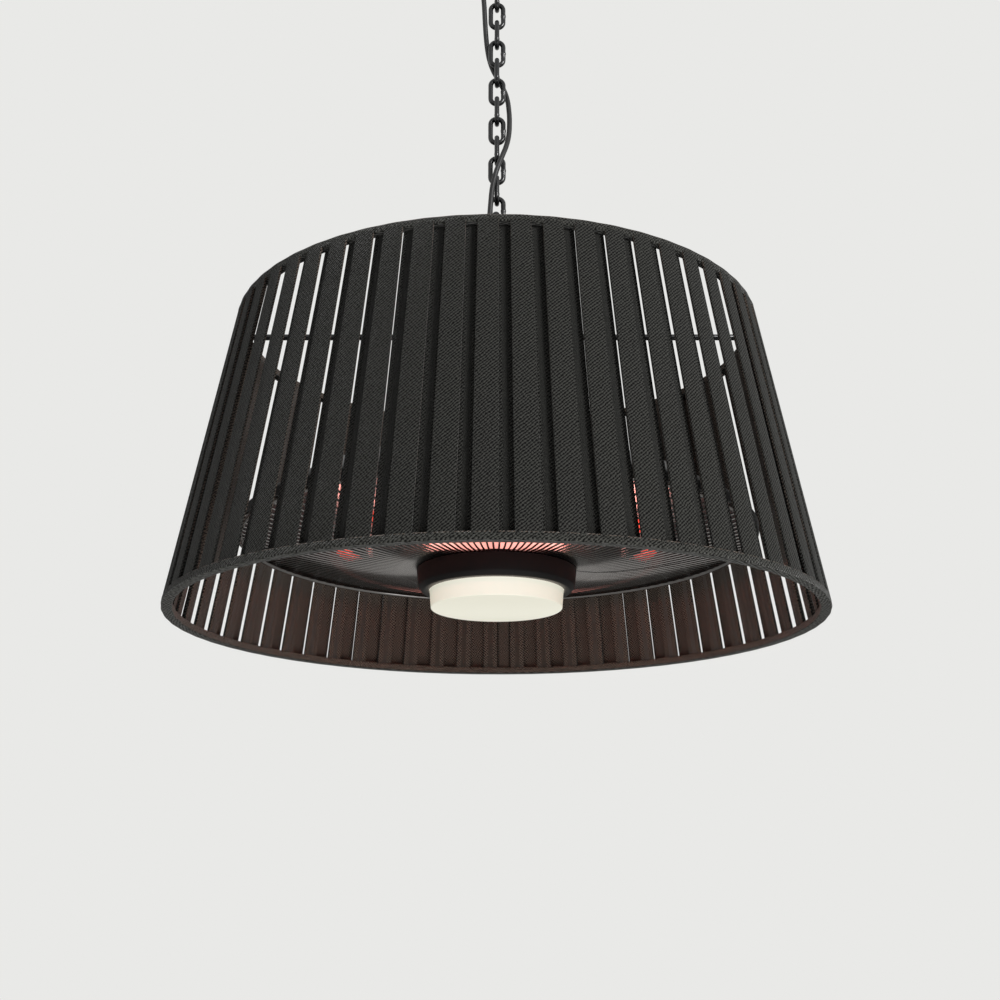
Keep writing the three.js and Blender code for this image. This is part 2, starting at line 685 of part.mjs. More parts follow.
// Heating tube: an arc round the lamp whose ends turn up into the ceramic caps
function heatingTube() {
  const half = THREE.MathUtils.degToRad(TUBE_GAP_DEG / 2);
  const bend = THREE.MathUtils.degToRad(TUBE_BEND_DEG);
  const [right, left] = tubeEnds();
  const bendTop = TUBE_HEIGHT + TUBE_RING_RADIUS * bend;
  const start = Math.PI / 2 - half - bend;
  const sweep = Math.PI * 2 - (half + bend) * 2;
  const arcSteps = TUBE_STEPS / 2;
  const points = [[...right, tubeTop], [...right, crownHeight], [...right, bendTop]];
  for (let step = 0; step <= arcSteps; step += 1) {
    const angle = start - (sweep * step) / arcSteps;
    points.push([TUBE_RING_RADIUS * Math.cos(angle), TUBE_RING_RADIUS * Math.sin(angle), TUBE_HEIGHT]);
  }
  points.push([...left, bendTop], [...left, crownHeight], [...left, tubeTop]);
  return wire(curveThrough(points), TUBE_DIAMETER, TUBE_SIDES, TUBE_STEPS);
}

// Ceramic cap over one end of the heating tube, between the reflector and the housing
function endCap(index) {
  const [x, y] = tubeEnds()[index];
  const inner = TUBE_DIAMETER / 2 + GAP;
  const outline = [
    [0, tubeTop + GAP],
    [inner, tubeTop + GAP],
    [inner, capBottom],
    [END_CAP_DIAMETER / 2, capBottom],
    [END_CAP_DIAMETER / 2, capBottom + END_CAP_HEIGHT],
    [0, capBottom + END_CAP_HEIGHT],
  ];
  return turnedOnAxis(outline, SMALL_ROUND).translate(x, y, 0);
}

// Clip: a band round the heating tube with a flat stem up to the reflector
function tubeClip(index) {
  const inner = TUBE_DIAMETER / 2 + TUBE_PLAY;
  const outer = inner + CLIP_WALL;
  const side = new THREE.Shape();
  const rise = REFLECTOR_CROWN_RISE - GAP;
  const open = Math.asin(CLIP_STEM / 2 / outer);
  side.absarc(0, 0, outer, Math.PI / 2 + open, Math.PI / 2 - open + Math.PI * 2, false);
  side.lineTo(CLIP_STEM / 2, rise);
  side.lineTo(-CLIP_STEM / 2, rise);
  side.closePath();
  const hole = new THREE.Path();
  hole.absarc(0, 0, inner, 0, Math.PI * 2, true);
  side.holes.push(hole);
  const settings = { depth: CLIP_WIDTH, bevelEnabled: false, curveSegments: SMALL_ROUND / 2 };
  const band = new THREE.ExtrudeGeometry(side, settings);
  band.translate(0, 0, -CLIP_WIDTH / 2).rotateX(Math.PI / 2);
  band.translate(TUBE_RING_RADIUS, 0, TUBE_HEIGHT);
  return band.rotateZ(-Math.PI / 2 + (index * Math.PI * 2) / CLIP_COUNT);
}

// Wire guard: radial wires, bent under the heating tube, welded to a thick outer ring and to a small
// ring above the lamp
function guard() {
  const ring = (radius, height, diameter, corners) => {
    const reach = diameter / 2 / Math.cos(Math.PI / corners);
    const outline = [];
    for (let corner = 0; corner < corners; corner += 1) {
      const angle = ((corner + 1 / 2) * Math.PI * 2) / corners;
      outline.push([radius + reach * Math.cos(angle), height + reach * Math.sin(angle)]);
    }
    return turned(outline, ROUND);
  };
  const outer = ring(guardRingRadius, GUARD_RING_HEIGHT, GUARD_RING_WIRE, GUARD_RING_SIDES);
  const inner = ring(GUARD_HUB_RADIUS, guardHubHeight, GUARD_HUB_WIRE, GUARD_HUB_SIDES);
  const spoke = bentWire([
    [GUARD_HUB_RADIUS, guardHubHeight],
    [TUBE_RING_RADIUS - GUARD_BEND_INSET, TUBE_HEIGHT - GUARD_TUBE_CLEARANCE],
    [guardRingRadius, GUARD_RING_HEIGHT],
  ], GUARD_WIRE);
  const spokes = [];
  for (let index = 0; index < GUARD_WIRES; index += 1) {
    spokes.push(spoke.clone().rotateZ(((index + 1 / 2) * Math.PI * 2) / GUARD_WIRES));
  }
  return joined([outer, inner, ...spokes]);
}

// Lamp collar: a shallow cup, open below, with a lip that holds the diffuser's flange
function ledCollar() {
  const lipInner = DIFFUSER_RADIUS + GAP;
  const bore = STUD_DIAMETER / 2 + GAP;
  const lipTop = COLLAR_BOTTOM + COLLAR_WALL;
  const footRadius = COLLAR_RADIUS - COLLAR_TAPER;
  const inner = footRadius - COLLAR_WALL;
  const outline = [
    [bore, collarTop],
    [COLLAR_RADIUS - COLLAR_WALL / 2, collarTop],
    [COLLAR_RADIUS, collarTop - COLLAR_WALL / 2],
    [footRadius, COLLAR_BOTTOM + COLLAR_CHAMFER],
    [footRadius - COLLAR_CHAMFER, COLLAR_BOTTOM],
    [lipInner, COLLAR_BOTTOM],
    [lipInner, lipTop],
    [inner, lipTop],
    [inner, collarCeiling],
    [bore, collarCeiling],
  ];
  return turned(outline, ROUND);
}

// Heat sink: an aluminium disc against the collar's top plate
function heatSink() {
  const top = collarCeiling - GAP;
  return washer(HEAT_SINK_RADIUS, STUD_DIAMETER / 2 + GAP, heatSinkBottom, top, MIDDLE_ROUND);
}

// LED board: a white disc under the heat sink, with room for the lamp's nut in its middle
function ledBoard() {
  const top = heatSinkBottom - GAP;
  const bore = NUT_WIDTH / Math.sqrt(3) + GAP;
  return washer(BOARD_RADIUS, bore, top - BOARD_THICKNESS, top, MIDDLE_ROUND);
}

// Diffuser: an opal cup with a rounded foot and a flange that rests on the collar's lip
function diffuser() {
  const wall = DIFFUSER_WALL;
  const flangeBottom = COLLAR_BOTTOM + COLLAR_WALL + GAP;
  const flangeTop = flangeBottom + DIFFUSER_WALL;
  const centre = [DIFFUSER_FOOT_RADIUS - DIFFUSER_CORNER, DIFFUSER_BOTTOM + DIFFUSER_CORNER];
  const corner = (radius, steps) => steps.map((step) => {
    const angle = (step * Math.PI) / 6;
    return [centre[0] + radius * Math.sin(angle), centre[1] - radius * Math.cos(angle)];
  });
  const outline = [
    [0, DIFFUSER_BOTTOM],
    ...corner(DIFFUSER_CORNER, [0, 1, 2, 3]),
    [DIFFUSER_RADIUS, flangeBottom],
    [DIFFUSER_RADIUS + DIFFUSER_FLANGE, flangeBottom],
    [DIFFUSER_RADIUS + DIFFUSER_FLANGE, flangeTop],
    [DIFFUSER_RADIUS - wall, flangeTop],
    ...corner(DIFFUSER_CORNER - wall, [3, 0]),
    [0, DIFFUSER_BOTTOM + wall],
  ];
  return turnedOnAxis(outline, ROUND);
}

// LED driver: a small block that hangs from the housing beside the stem
function ledDriver() {
  const [length, width, height] = DRIVER_SIZE;
  return box([length, width, height], [0, DRIVER_OFFSET, housingCeiling - GAP - height / 2]);
}

// Terminal box: a box open above, on the housing, with its lid, gland and terminal block
const boxCentre = [-BOX_OFFSET, 0];
const boxTop = housingSeat + BOX_SIZE[2];
const lidTop = boxTop + GAP + LID_THICKNESS;
const glandPlace = [-BOX_OFFSET + GLAND_OFFSET, -HUB_CABLE_OFFSET];

function terminalBox() {
  const [length, width, height] = BOX_SIZE;
  const shell = box([length, width, height], [...boxCentre, housingSeat + height / 2]);
  const room = box(
    [length - BOX_WALL * 2, width - BOX_WALL * 2, height],
    [...boxCentre, housingSeat + height / 2 + BOX_WALL],
  );
  return cut(shell, [room]);
}

function terminalLid() {
  const [length, width] = BOX_SIZE;
  const lid = box([length, width, LID_THICKNESS], [...boxCentre, lidTop - LID_THICKNESS / 2]);
  const hole = disc(GLAND_THREAD / 2 + GAP, boxTop - OVERRUN, lidTop + OVERRUN, SMALL_ROUND);
  return cut(lid, [hole.translate(...glandPlace, 0)]);
}

function terminalBlock() {
  const height = TERMINAL_SIZE[2];
  return box(TERMINAL_SIZE, [...boxCentre, housingSeat + BOX_WALL + GAP + height / 2]);
}

function cableGland() {
  const bore = CABLE_DIAMETER / 2 + GAP;
  const seat = lidTop + GAP;
  const outline = [
    [bore, boxTop - LID_THICKNESS],
    [GLAND_THREAD / 2, boxTop - LID_THICKNESS],
    [GLAND_THREAD / 2, seat],
    [GLAND_FLANGE / 2, seat],
    [GLAND_FLANGE / 2, seat + GLAND_HEIGHT / 2],
    [GLAND_THREAD / 2, seat + GLAND_HEIGHT],
    [bore, seat + GLAND_HEIGHT],
  ];
  return turned(outline, SMALL_ROUND).translate(...glandPlace, 0);
}

// Inner lead: from the hub's cable hole down to the terminal box
function innerLead() {
  const [glandX, glandY] = glandPlace;
  const start = hubBottom + GAP;
  const foot = boxTop - LID_THICKNESS;
  const drop = start - lidTop;
  const across = glandX + HUB_CABLE_OFFSET;
  const bendShares = [
    [0, 0], [0, 0.14], [0.1, 0.32], [0.5, 0.54], [0.9, 0.74], [1, 0.88],
  ];
  const points = bendShares.map(([side, down]) => [
    -HUB_CABLE_OFFSET + across * side, -HUB_CABLE_OFFSET, start - drop * down,
  ]);
  points.push([glandX, glandY, lidTop], [glandX, glandY, foot]);
  return wire(curveThrough(points), CABLE_DIAMETER, CABLE_SIDES, LEAD_STEPS);
}

place('ceiling_plate', ceilingPlate(), 'steel');
place('ceiling_canopy', ceilingCanopy(), 'enamel');
place('ceiling_hook', ceilingHook(), 'steel');
place('canopy_nut', studNut(canopyBottom - GAP - NUT_HEIGHT), 'steel');
place('cable_grip', cableGrip(), 'cable');
for (let index = 1; index <= LINK_COUNT; index += 1) {
  const link = place(`chain_link_${String(index).padStart(2, '0')}`, chainLink(index), 'steel');
  link.position.z = linkCentre(index);
}
place('power_cable', wire(curveThrough(CABLE_ROUTE), CABLE_DIAMETER, CABLE_SIDES, CABLE_STEPS), 'cable');
place('eye_bolt', eyeBolt(), 'steel');
place('eye_nut', studNut(hubTop + GAP), 'steel');
place('hub', hub(), 'enamel');
place('spider_bar_right', spiderBar(0, 0), 'steel');
place('spider_bar_left', spiderBar(0, 1), 'steel');
place('spider_bar_front', spiderBar(Math.PI / 2, 1), 'steel');
place('spider_bar_back', spiderBar(Math.PI / 2, 0), 'steel');
place('shade_frame', shadeFrame(), 'steel');
place('shade_outer_straps', outerStraps(), 'textile');
place('shade_inner_straps', innerStraps(), 'textile');
place('stem', stem(), 'steel');
place('stem_nut', stemNut(), 'steel');
place('heater_housing', heaterHousing(), 'enamel');
place('terminal_box', terminalBox(), 'enamel');
place('terminal_box_lid', terminalLid(), 'enamel');
place('terminal_block', terminalBlock(), 'ceramic');
place('cable_gland', cableGland(), 'plastic');
place('inner_lead', innerLead(), 'cable');
place('reflector', reflector(), 'aluminium');
place('heating_tube', heatingTube(), 'hot');
place('end_cap_right', endCap(0), 'ceramic');
place('end_cap_left', endCap(1), 'ceramic');
for (let index = 0; index < CLIP_COUNT; index += 1) {
  place(`tube_clip_${index + 1}`, tubeClip(index), 'aluminium');
}
place('wire_guard', guard(), 'steel');
place('led_collar', ledCollar(), 'plastic');
place('led_heat_sink', heatSink(), 'aluminium');
place('led_board', ledBoard(), 'board');
place('lamp_nut', studNut(heatSinkBottom - GAP - NUT_HEIGHT), 'steel');
place('led_driver', ledDriver(), 'plastic');
place('led_diffuser', diffuser(), 'opal');

export default group;
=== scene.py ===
"""Hanging patio heater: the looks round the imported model.

A strap shade on a chain, an electric ring heater behind a wire guard and a round lamp in its middle.
Heights in comments and outlines are millimetres above the shade's bottom rim.
"""

import math

import bmesh
import bpy
from mathutils import Matrix, Vector


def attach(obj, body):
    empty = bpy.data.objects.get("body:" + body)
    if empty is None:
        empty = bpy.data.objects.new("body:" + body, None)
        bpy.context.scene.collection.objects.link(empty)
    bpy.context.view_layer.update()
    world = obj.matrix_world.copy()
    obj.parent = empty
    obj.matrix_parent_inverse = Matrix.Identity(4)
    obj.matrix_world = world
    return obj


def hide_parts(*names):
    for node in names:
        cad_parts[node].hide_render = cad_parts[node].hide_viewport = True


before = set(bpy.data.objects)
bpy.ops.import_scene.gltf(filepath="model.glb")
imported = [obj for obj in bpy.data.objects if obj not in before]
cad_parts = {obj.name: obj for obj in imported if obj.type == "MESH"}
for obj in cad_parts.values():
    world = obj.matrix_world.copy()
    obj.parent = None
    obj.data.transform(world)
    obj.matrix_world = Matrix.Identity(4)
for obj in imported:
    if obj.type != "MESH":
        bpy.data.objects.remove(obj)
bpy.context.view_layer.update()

# The photographer's place: 1.2 m in front of the shade and 0.24 m under its rim, looking up at it
# through a 48 mm lens. The picture is square.
camera = bpy.data.objects.new("photo_camera", bpy.data.cameras.new("photo_camera"))
bpy.context.scene.collection.objects.link(camera)
camera.location = (0.00315, -1.2044, -1.0173)
camera.rotation_euler = (math.radians(90 + 16.51), 0, 0)
camera.data.lens = 48.0
camera.data.sensor_width = 36.0
camera.data.clip_end = 100
bpy.context.scene.camera = camera


# Power cable: three cores in a round black rubber sheath, 5.2 mm thick. It is woven through the chain
# by hand, comes out of the hub's hole and goes into the grip in the ceiling canopy. Its upper end is a guess.
ceiling = 777.9


def rim(height):
    """A height in millimetres above the shade's bottom rim, as a height of the model in metres."""
    return (height - ceiling) / 1000


def linear(hex_colour):
    """An sRGB hex colour as the linear colour that a shader takes."""
    channels = [int(hex_colour[i : i + 2], 16) / 255 for i in (1, 3, 5)]
    return [c / 12.92 if c <= 0.04045 else ((c + 0.055) / 1.055) ** 2.4 for c in channels] + [1]


def add(tree, kind, values=None, links=None, **settings):
    """Adds one shader node; values and links go to its sockets, settings to the node itself."""
    new = tree.nodes.new("ShaderNode" + kind)
    for name, value in settings.items():
        setattr(new, name, value)
    for socket, value in (values or {}).items():
        new.inputs[socket].default_value = value
    for socket, source in (links or {}).items():
        tree.links.new(source, new.inputs[socket])
    return new


def coat(name, colour, roughness, metallic=0.0, ior=1.5, grain=1.0, depth=0.02, mottle=0.1):
    """A finish with an even colour: grain is its bump's size and depth its height, in millimetres."""
    material = bpy.data.materials.new(name)
    material.use_nodes = True
    tree = material.node_tree
    shader = tree.nodes["Principled BSDF"]
    shader.inputs["Metallic"].default_value = metallic
    shader.inputs["IOR"].default_value = ior
    place = add(tree, "TexCoord").outputs["Object"]
    fine = add(tree, "TexNoise", {"Scale": 1000 / grain, "Detail": 2}, {"Vector": place})
    broad = add(tree, "TexNoise", {"Scale": 25, "Detail": 3}, {"Vector": place})
    low, high = roughness * (1 - mottle), roughness * (1 + mottle)
    spread = add(tree, "MapRange", {3: low, 4: high}, {0: broad.outputs[0]})
    tree.links.new(spread.outputs[0], shader.inputs["Roughness"])
    dark = [c * (1 - mottle) for c in linear(colour)[:3]] + [1]
    shade = add(
        tree,
        "Mix",
        {6: dark, 7: linear(colour)},
        {0: broad.outputs[0]},
        data_type="RGBA",
    )
    tree.links.new(shade.outputs[2], shader.inputs["Base Color"])
    bump = add(tree, "Bump", {"Strength": 1, "Distance": depth / 1000}, {"Height": fine.outputs[0]})
    tree.links.new(bump.outputs[0], shader.inputs["Normal"])
    return material


rubber_sheath = coat("black_rubber_sheath", "#151516", 0.5, grain=0.8, depth=0.03)


def cable(name, points, thickness, material, slot, body, node, **facts):
    """One free cable through points in millimetres, as thick as given. Its length and other facts are not
    used.
    """
    curve = bpy.data.curves.new(name, "CURVE")
    curve.dimensions = "3D"
    curve.bevel_depth = thickness / 2000
    curve.bevel_resolution = 5
    curve.resolution_u = 6
    curve.use_fill_caps = True
    spline = curve.splines.new("BEZIER")
    spline.bezier_points.add(len(points) - 1)
    for knot, (x, y, z) in zip(spline.bezier_points, points):
        knot.co = (x / 1000, y / 1000, rim(z))
        knot.handle_left_type = knot.handle_right_type = "AUTO"
    piece = bpy.data.objects.new(name, curve)
    bpy.context.scene.collection.objects.link(piece)
    curve.materials.append(material)
    x, y, z = points[0]
    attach(piece, body)
    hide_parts(node)
    return piece


power_route = [
    (-14, -14, 284), (-14, -14, 300), (-13.4, -13, 325), (-12, -10.8, 352), (-9.8, -8.6, 380),
    (-7.6, -7.4, 405), (-6.2, -7.8, 425), (-4.6, -10.2, 441), (-1.8, -12.4, 454), (1.8, -12.9, 466),
    (5.8, -11, 478), (9.6, -7.2, 491), (12, -3.2, 505), (12.9, 0, 521), (12.4, 3.2, 538),
    (10.8, 6.6, 553), (8, 9.8, 565), (4.2, 12, 575), (0, 12.7, 584), (-4, 11.6, 592),
    (-7.4, 9.4, 601), (-9.8, 6.6, 612), (-11.4, 4, 626), (-12.6, 2, 644), (-13.6, 0.8, 664),
    (-15.4, 0.2, 684), (-19, 0, 704), (-22, 0, 724), (-23, 0, 740),
]
cable_thickness = 5.2
cable(
    "power_cable_sheathed", power_route, cable_thickness, rubber_sheath, "cable", "chain", "power_cable",
    length=0.4757, stiffness="medium", lay="hanging",
)


# Inner lead: the same cable's stretch inside the shade, from the hub's hole down to the gland on the
# terminal box's lid.
hole_x, hole_y, gland_x = -14, -14, -60
lead_start, lead_foot, lid_top = 277.2, 150.2, 155.5
lead_shares = [(0, 0), (0, 0.14), (0.1, 0.32), (0.5, 0.54), (0.9, 0.74), (1, 0.88)]
lead_route = [
    (hole_x + (gland_x - hole_x) * side, hole_y, lead_start - (lead_start - lid_top) * down)
    for side, down in lead_shares
]
lead_route += [(gland_x, hole_y, lid_top), (gland_x, hole_y, lead_foot)]
cable(
    "inner_lead_sheathed", lead_route, cable_thickness, rubber_sheath, "cable", "lamp", "inner_lead",
    length=0.1398, stiffness="medium", lay="hanging",
)


# Ceiling fitting: a steel plate with a boss, a bent hook that screws into it, a drawn steel canopy that
# its nut holds up, and a rubber sleeve for the cable. All of it is above the picture, and a guess.
def finished(name, mesh, material, body, slot, *nodes):
    """Turns a bmesh into a shown piece, with its sharp edges kept sharp, on its body."""
    for face in mesh.faces:
        face.smooth = True
    for edge in mesh.edges:
        edge.smooth = edge.calc_face_angle(0) < math.radians(32)
    data = bpy.data.meshes.new(name)
    mesh.to_mesh(data)
    mesh.free()
    piece = bpy.data.objects.new(name, data)
    bpy.context.scene.collection.objects.link(piece)
    data.materials.append(material)
    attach(piece, body)
    if nodes:
        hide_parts(*nodes)
    return piece


def dressed(node, material):
    """Gives a kept CAD node its finish; its mesh stays as it is."""
    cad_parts[node].material_slots[0].material = material


def eased(mesh, width, segments=2):
    """Rounds every sharp edge of a mesh by a width in millimetres."""
    sharp = [e for e in mesh.edges if e.is_manifold and e.calc_face_angle(0) > math.radians(28)]
    bmesh.ops.bevel(
        mesh, geom=sharp, offset=width / 1000, offset_type="OFFSET", segments=segments,
        profile=0.5, affect="EDGES", clamp_overlap=True, material=-1,
    )
    return mesh


def turned(outline, steps, ease=0, closed=True, at=(0, 0)):
    """Turns an outline of (radius, height) in millimetres about an upright axis, like work on a lathe."""
    mesh = bmesh.new()
    corners = [mesh.verts.new((r / 1000, 0, rim(z))) for r, z in outline]
    ends = corners[1:] + corners[:1] if closed else corners[1:]
    edges = [mesh.edges.new(pair) for pair in zip(corners, ends)]
    bmesh.ops.spin(
        mesh, geom=corners + edges, cent=(0, 0, 0), axis=(0, 0, 1), angle=2 * math.pi,
        steps=steps, use_merge=True,
    )
    bmesh.ops.remove_doubles(mesh, verts=mesh.verts, dist=1e-6)
    bmesh.ops.recalc_face_normals(mesh, faces=mesh.faces)
    if ease:
        eased(mesh, ease)
    bmesh.ops.translate(mesh, verts=mesh.verts, vec=(at[0] / 1000, at[1] / 1000, 0))
    return mesh


def rod(start, end, diameter, sides=24, ease=0.0):
    """A straight round rod between two points in millimetres."""
    a, b = (Vector((x / 1000, y / 1000, rim(z))) for x, y, z in (start, end))
    turn = (b - a).to_track_quat("Z", "Y").to_matrix().to_4x4()
    mesh = bmesh.new()
    bmesh.ops.create_cone(
        mesh, cap_ends=True, segments=sides, radius1=diameter / 2000, radius2=diameter / 2000,
        depth=(b - a).length, matrix=Matrix.Translation((a + b) / 2) @ turn,
    )
    return eased(mesh, ease) if ease else mesh


def together(*meshes):
    """Puts several meshes into the first one."""
    first = meshes[0]
    for other in meshes[1:]:
        data = bpy.data.meshes.new("part")
        other.to_mesh(data)
        other.free()
        first.from_mesh(data)
        bpy.data.meshes.remove(data)
    return first


def hexagon_nut(bottom, height, width, at=(0, 0)):
    """A hexagon nut with eased corners, standing at a height."""
    mesh = bmesh.new()
    bmesh.ops.create_cone(
        mesh, cap_ends=True, segments=6, radius1=width / math.sqrt(3) / 1000,
        radius2=width / math.sqrt(3) / 1000, depth=height / 1000,
        matrix=Matrix.Translation((at[0] / 1000, at[1] / 1000, rim(bottom + height / 2)))
        @ Matrix.Rotation(math.radians(30), 4, "Z"),
    )
    return eased(mesh, 0.6)


# Powder coat baked on steel: nearly black, glossy, with a faint orange peel.
gloss_powder_coat = coat("gloss_black_powder_coat", "#131416", 0.24, grain=1.6, depth=0.035)
# Heat-proof stove enamel: a softer black with a finer grain.
stove_enamel = coat("satin_black_stove_enamel", "#1b1b1c", 0.42, grain=0.9, depth=0.03)

dressed("ceiling_plate", gloss_powder_coat)

canopy_bottom, grip_x = 743.9, -23
canopy_outline = [
    (4.6, canopy_bottom), (54, canopy_bottom), (54, ceiling), (52.5, ceiling), (52.5, 745.4),
    (4.6, 745.4),
]


def canopy_cup():
    """The drawn cup: its bottom corner has a 12 mm radius outside."""
    mesh = turned(canopy_outline, 96)
    low = rim(canopy_bottom + 2)
    corner = [
        e for e in mesh.edges
        if all(v.co.z < low and v.co.xy.length > 0.05 for v in e.verts)
        and abs(e.verts[0].co.xy.length - e.verts[1].co.xy.length) < 1e-5
        and abs(e.verts[0].co.z - e.verts[1].co.z) < 1e-5
    ]
    bmesh.ops.bevel(
        mesh, geom=corner, offset=0.0112, offset_type="OFFSET", segments=8, profile=0.5,
        affect="EDGES", clamp_overlap=False, material=-1,
    )
    return eased(mesh, 0.4)


def drilled(piece, *cutters):
    """Cuts holes through a finished piece and leaves a plain mesh."""
    for cutter in cutters:
        data = bpy.data.meshes.new("drill")
        cutter.to_mesh(data)
        cutter.free()
        drill = bpy.data.objects.new("drill", data)
        bpy.context.scene.collection.objects.link(drill)
        hole = piece.modifiers.new("hole", "BOOLEAN")
        hole.object = drill
        hole.solver = "EXACT"
        bpy.context.view_layer.update()
        shape = piece.evaluated_get(bpy.context.evaluated_depsgraph_get())
        cut = bpy.data.meshes.new_from_object(shape)
        piece.modifiers.clear()
        old = piece.data
        piece.data = cut
        bpy.data.meshes.remove(old)
        bpy.data.objects.remove(drill)
    return piece


canopy = finished("canopy_cup", canopy_cup(), stove_enamel, "ceiling", "enamel", "ceiling_canopy")
drilled(canopy, rod((grip_x, 0, 742), (grip_x, 0, 748), 23.6, 48))


def bent_hook():
    """A 5 mm rod bent three quarters round, on its straight shank."""
    mesh = bmesh.new()
    centre = Vector((0, 0, rim(715.4)))
    bmesh.ops.create_circle(
        mesh, segments=20, radius=0.0025, cap_ends=True,
        matrix=Matrix.Translation(centre + Vector((0, 0, 0.011)))
        @ Matrix.Rotation(math.radians(90), 4, "X"),
    )
    bmesh.ops.spin(
        mesh, geom=mesh.faces[:] + mesh.edges[:] + mesh.verts[:], cent=centre, axis=(1, 0, 0),
        angle=math.radians(-285), steps=40,
    )
    bmesh.ops.recalc_face_normals(mesh, faces=mesh.faces)
    eased(mesh, 0.9)
    shank = rod((0, 0, 724), (0, 0, 773.6), 8, 32)
    return together(mesh, shank, rod((0, 0, 722), (0, 0, 729), 9.5, 32, 2))


finished("bent_hook", bent_hook(), gloss_powder_coat, "ceiling", "steel", "ceiling_hook")
finished("hook_nut", hexagon_nut(738.1, 5.5, 13), gloss_powder_coat, "ceiling", "steel", "canopy_nut")

grip_outline = [
    (10, 748.4), (10, 733.1), (10.7, 731.6), (11.5, 731.6), (14, 743.6), (11.5, 743.6), (11.5, 748.4),
]
# Its bore is far wider than the cable, because the rigid cable swings in it; a real grip holds the cable.
grip_sleeve = turned(grip_outline, 48, 0.3, at=(grip_x, 0))
finished("grip_sleeve", grip_sleeve, rubber_sheath, "ceiling", "cable", "cable_grip")


# Chain: seventeen links of 5 mm steel rod, bent to a long ring, butt-welded on one side and powder
# coated. Each link hangs square to its neighbours.
def long_link():
    """One link in the XZ plane round the origin, in metres, with the low bead of its weld."""
    bow, half, wire = 0.0065, 0.0076, 0.0025
    mesh = bmesh.new()
    bmesh.ops.create_circle(
        mesh, segments=14, radius=wire, cap_ends=False, matrix=Matrix.Translation((bow, 0, -half))
    )
    ring = mesh.edges[:]

    def drawn(edges, height, centre_x, scale=1.0):
        """Pulls the wire's end straight up or down to a height, a little thicker or thinner."""
        out = bmesh.ops.extrude_edge_only(mesh, edges=edges)["geom"]
        points = [g for g in out if isinstance(g, bmesh.types.BMVert)]
        for point in points:
            point.co.z = height
        bmesh.ops.scale(
            mesh, vec=(scale, scale, 1), verts=points, space=Matrix.Translation((-centre_x, 0, 0))
        )
        return [g for g in out if isinstance(g, bmesh.types.BMEdge)]

    def bent(edges, height):
        """Bends the wire's end half a turn about a point on the link's middle line."""
        geom = edges + list({v for e in edges for v in e.verts})
        out = bmesh.ops.spin(
            mesh, geom=geom, cent=(0, 0, height), axis=(0, 1, 0), angle=-math.pi, steps=14
        )["geom_last"]
        return [g for g in out if isinstance(g, bmesh.types.BMEdge)]

    weld = [(-0.0016, 1), (-0.0009, 1.13), (0.0009, 1), (0.0016, 1 / 1.13)]
    for height, scale in weld:
        ring = drawn(ring, height, bow, scale)
    ring = drawn(ring, half, bow)
    ring = bent(ring, half)
    ring = drawn(ring, -half, -bow)
    bent(ring, -half)
    bmesh.ops.remove_doubles(mesh, verts=mesh.verts, dist=1e-5)
    bmesh.ops.recalc_face_normals(mesh, faces=mesh.faces)
    return mesh


link_count, link_pitch, lowest_link = 17, 22.9, 329.2
one_link = long_link()
for index in range(1, link_count + 1):
    link = one_link.copy()
    if index % 2 == 0:
        bmesh.ops.rotate(link, verts=link.verts, matrix=Matrix.Rotation(math.radians(90), 3, "Z"))
    height = lowest_link + (link_count - index) * link_pitch
    bmesh.ops.translate(link, verts=link.verts, vec=(0, 0, rim(height)))
    carrier = "top_link" if index == 1 else "bottom_link" if index == link_count else "chain"
    node = f"chain_link_{index:02}"
    finished(f"welded_link_{index:02}", link, gloss_powder_coat, carrier, "steel", node)
one_link.free()


# Eye and its lock nut: a forged eye on a shank that goes down through the hub. Its thread is left plain.
def forged_eye():
    """The ring stands in the YZ plane; its shank is 8 mm thick."""
    mesh = bmesh.new()
    centre = Vector((0, 0, rim(309.9)))
    bmesh.ops.create_circle(
        mesh, segments=20, radius=0.0025, matrix=Matrix.Translation(centre + Vector((0, 0.0105, 0)))
    )
    bmesh.ops.spin(
        mesh, geom=mesh.edges[:] + mesh.verts[:], cent=centre, axis=(1, 0, 0), angle=2 * math.pi,
        steps=48, use_merge=True,
    )
    bmesh.ops.recalc_face_normals(mesh, faces=mesh.faces)
    shank = rod((0, 0, 256), (0, 0, 299), 8, 32)
    return together(mesh, shank, rod((0, 0, 296), (0, 0, 300.5), 9, 32, 1.5))


finished("forged_eye", forged_eye(), gloss_powder_coat, "lamp", "steel", "eye_bolt")
finished("eye_lock_nut", hexagon_nut(290.2, 5.5, 13), gloss_powder_coat, "lamp", "steel", "eye_nut")


# Hub and bars: a turned steel disc, drilled for the cable, with four 6 mm rods pressed into its edge.
# The rods lie on the shade's top ring and carry it. The hole's width is for the rigid cable's swing.
hub_outline = [(0, 276.9), (34, 276.9), (34, 289.9), (0, 289.9)]
hub_disc = finished(
    "hub_disc", turned(hub_outline, 96, 2.2, closed=False), stove_enamel, "lamp", "enamel", "hub"
)
drilled(hub_disc, rod((hole_x, hole_y, 270), (hole_x, hole_y, 300), 19, 48))

for side, (x, y) in {"right": (1, 0), "left": (-1, 0), "front": (0, -1), "back": (0, 1)}.items():
    bar = rod((x * 25.3, y * 25.3, 283.4), (x * 245.4, y * 245.4, 283.4), 6, 24, 0.8)
    finished(f"bar_{side}", bar, gloss_powder_coat, "lamp", "steel", f"spider_bar_{side}")


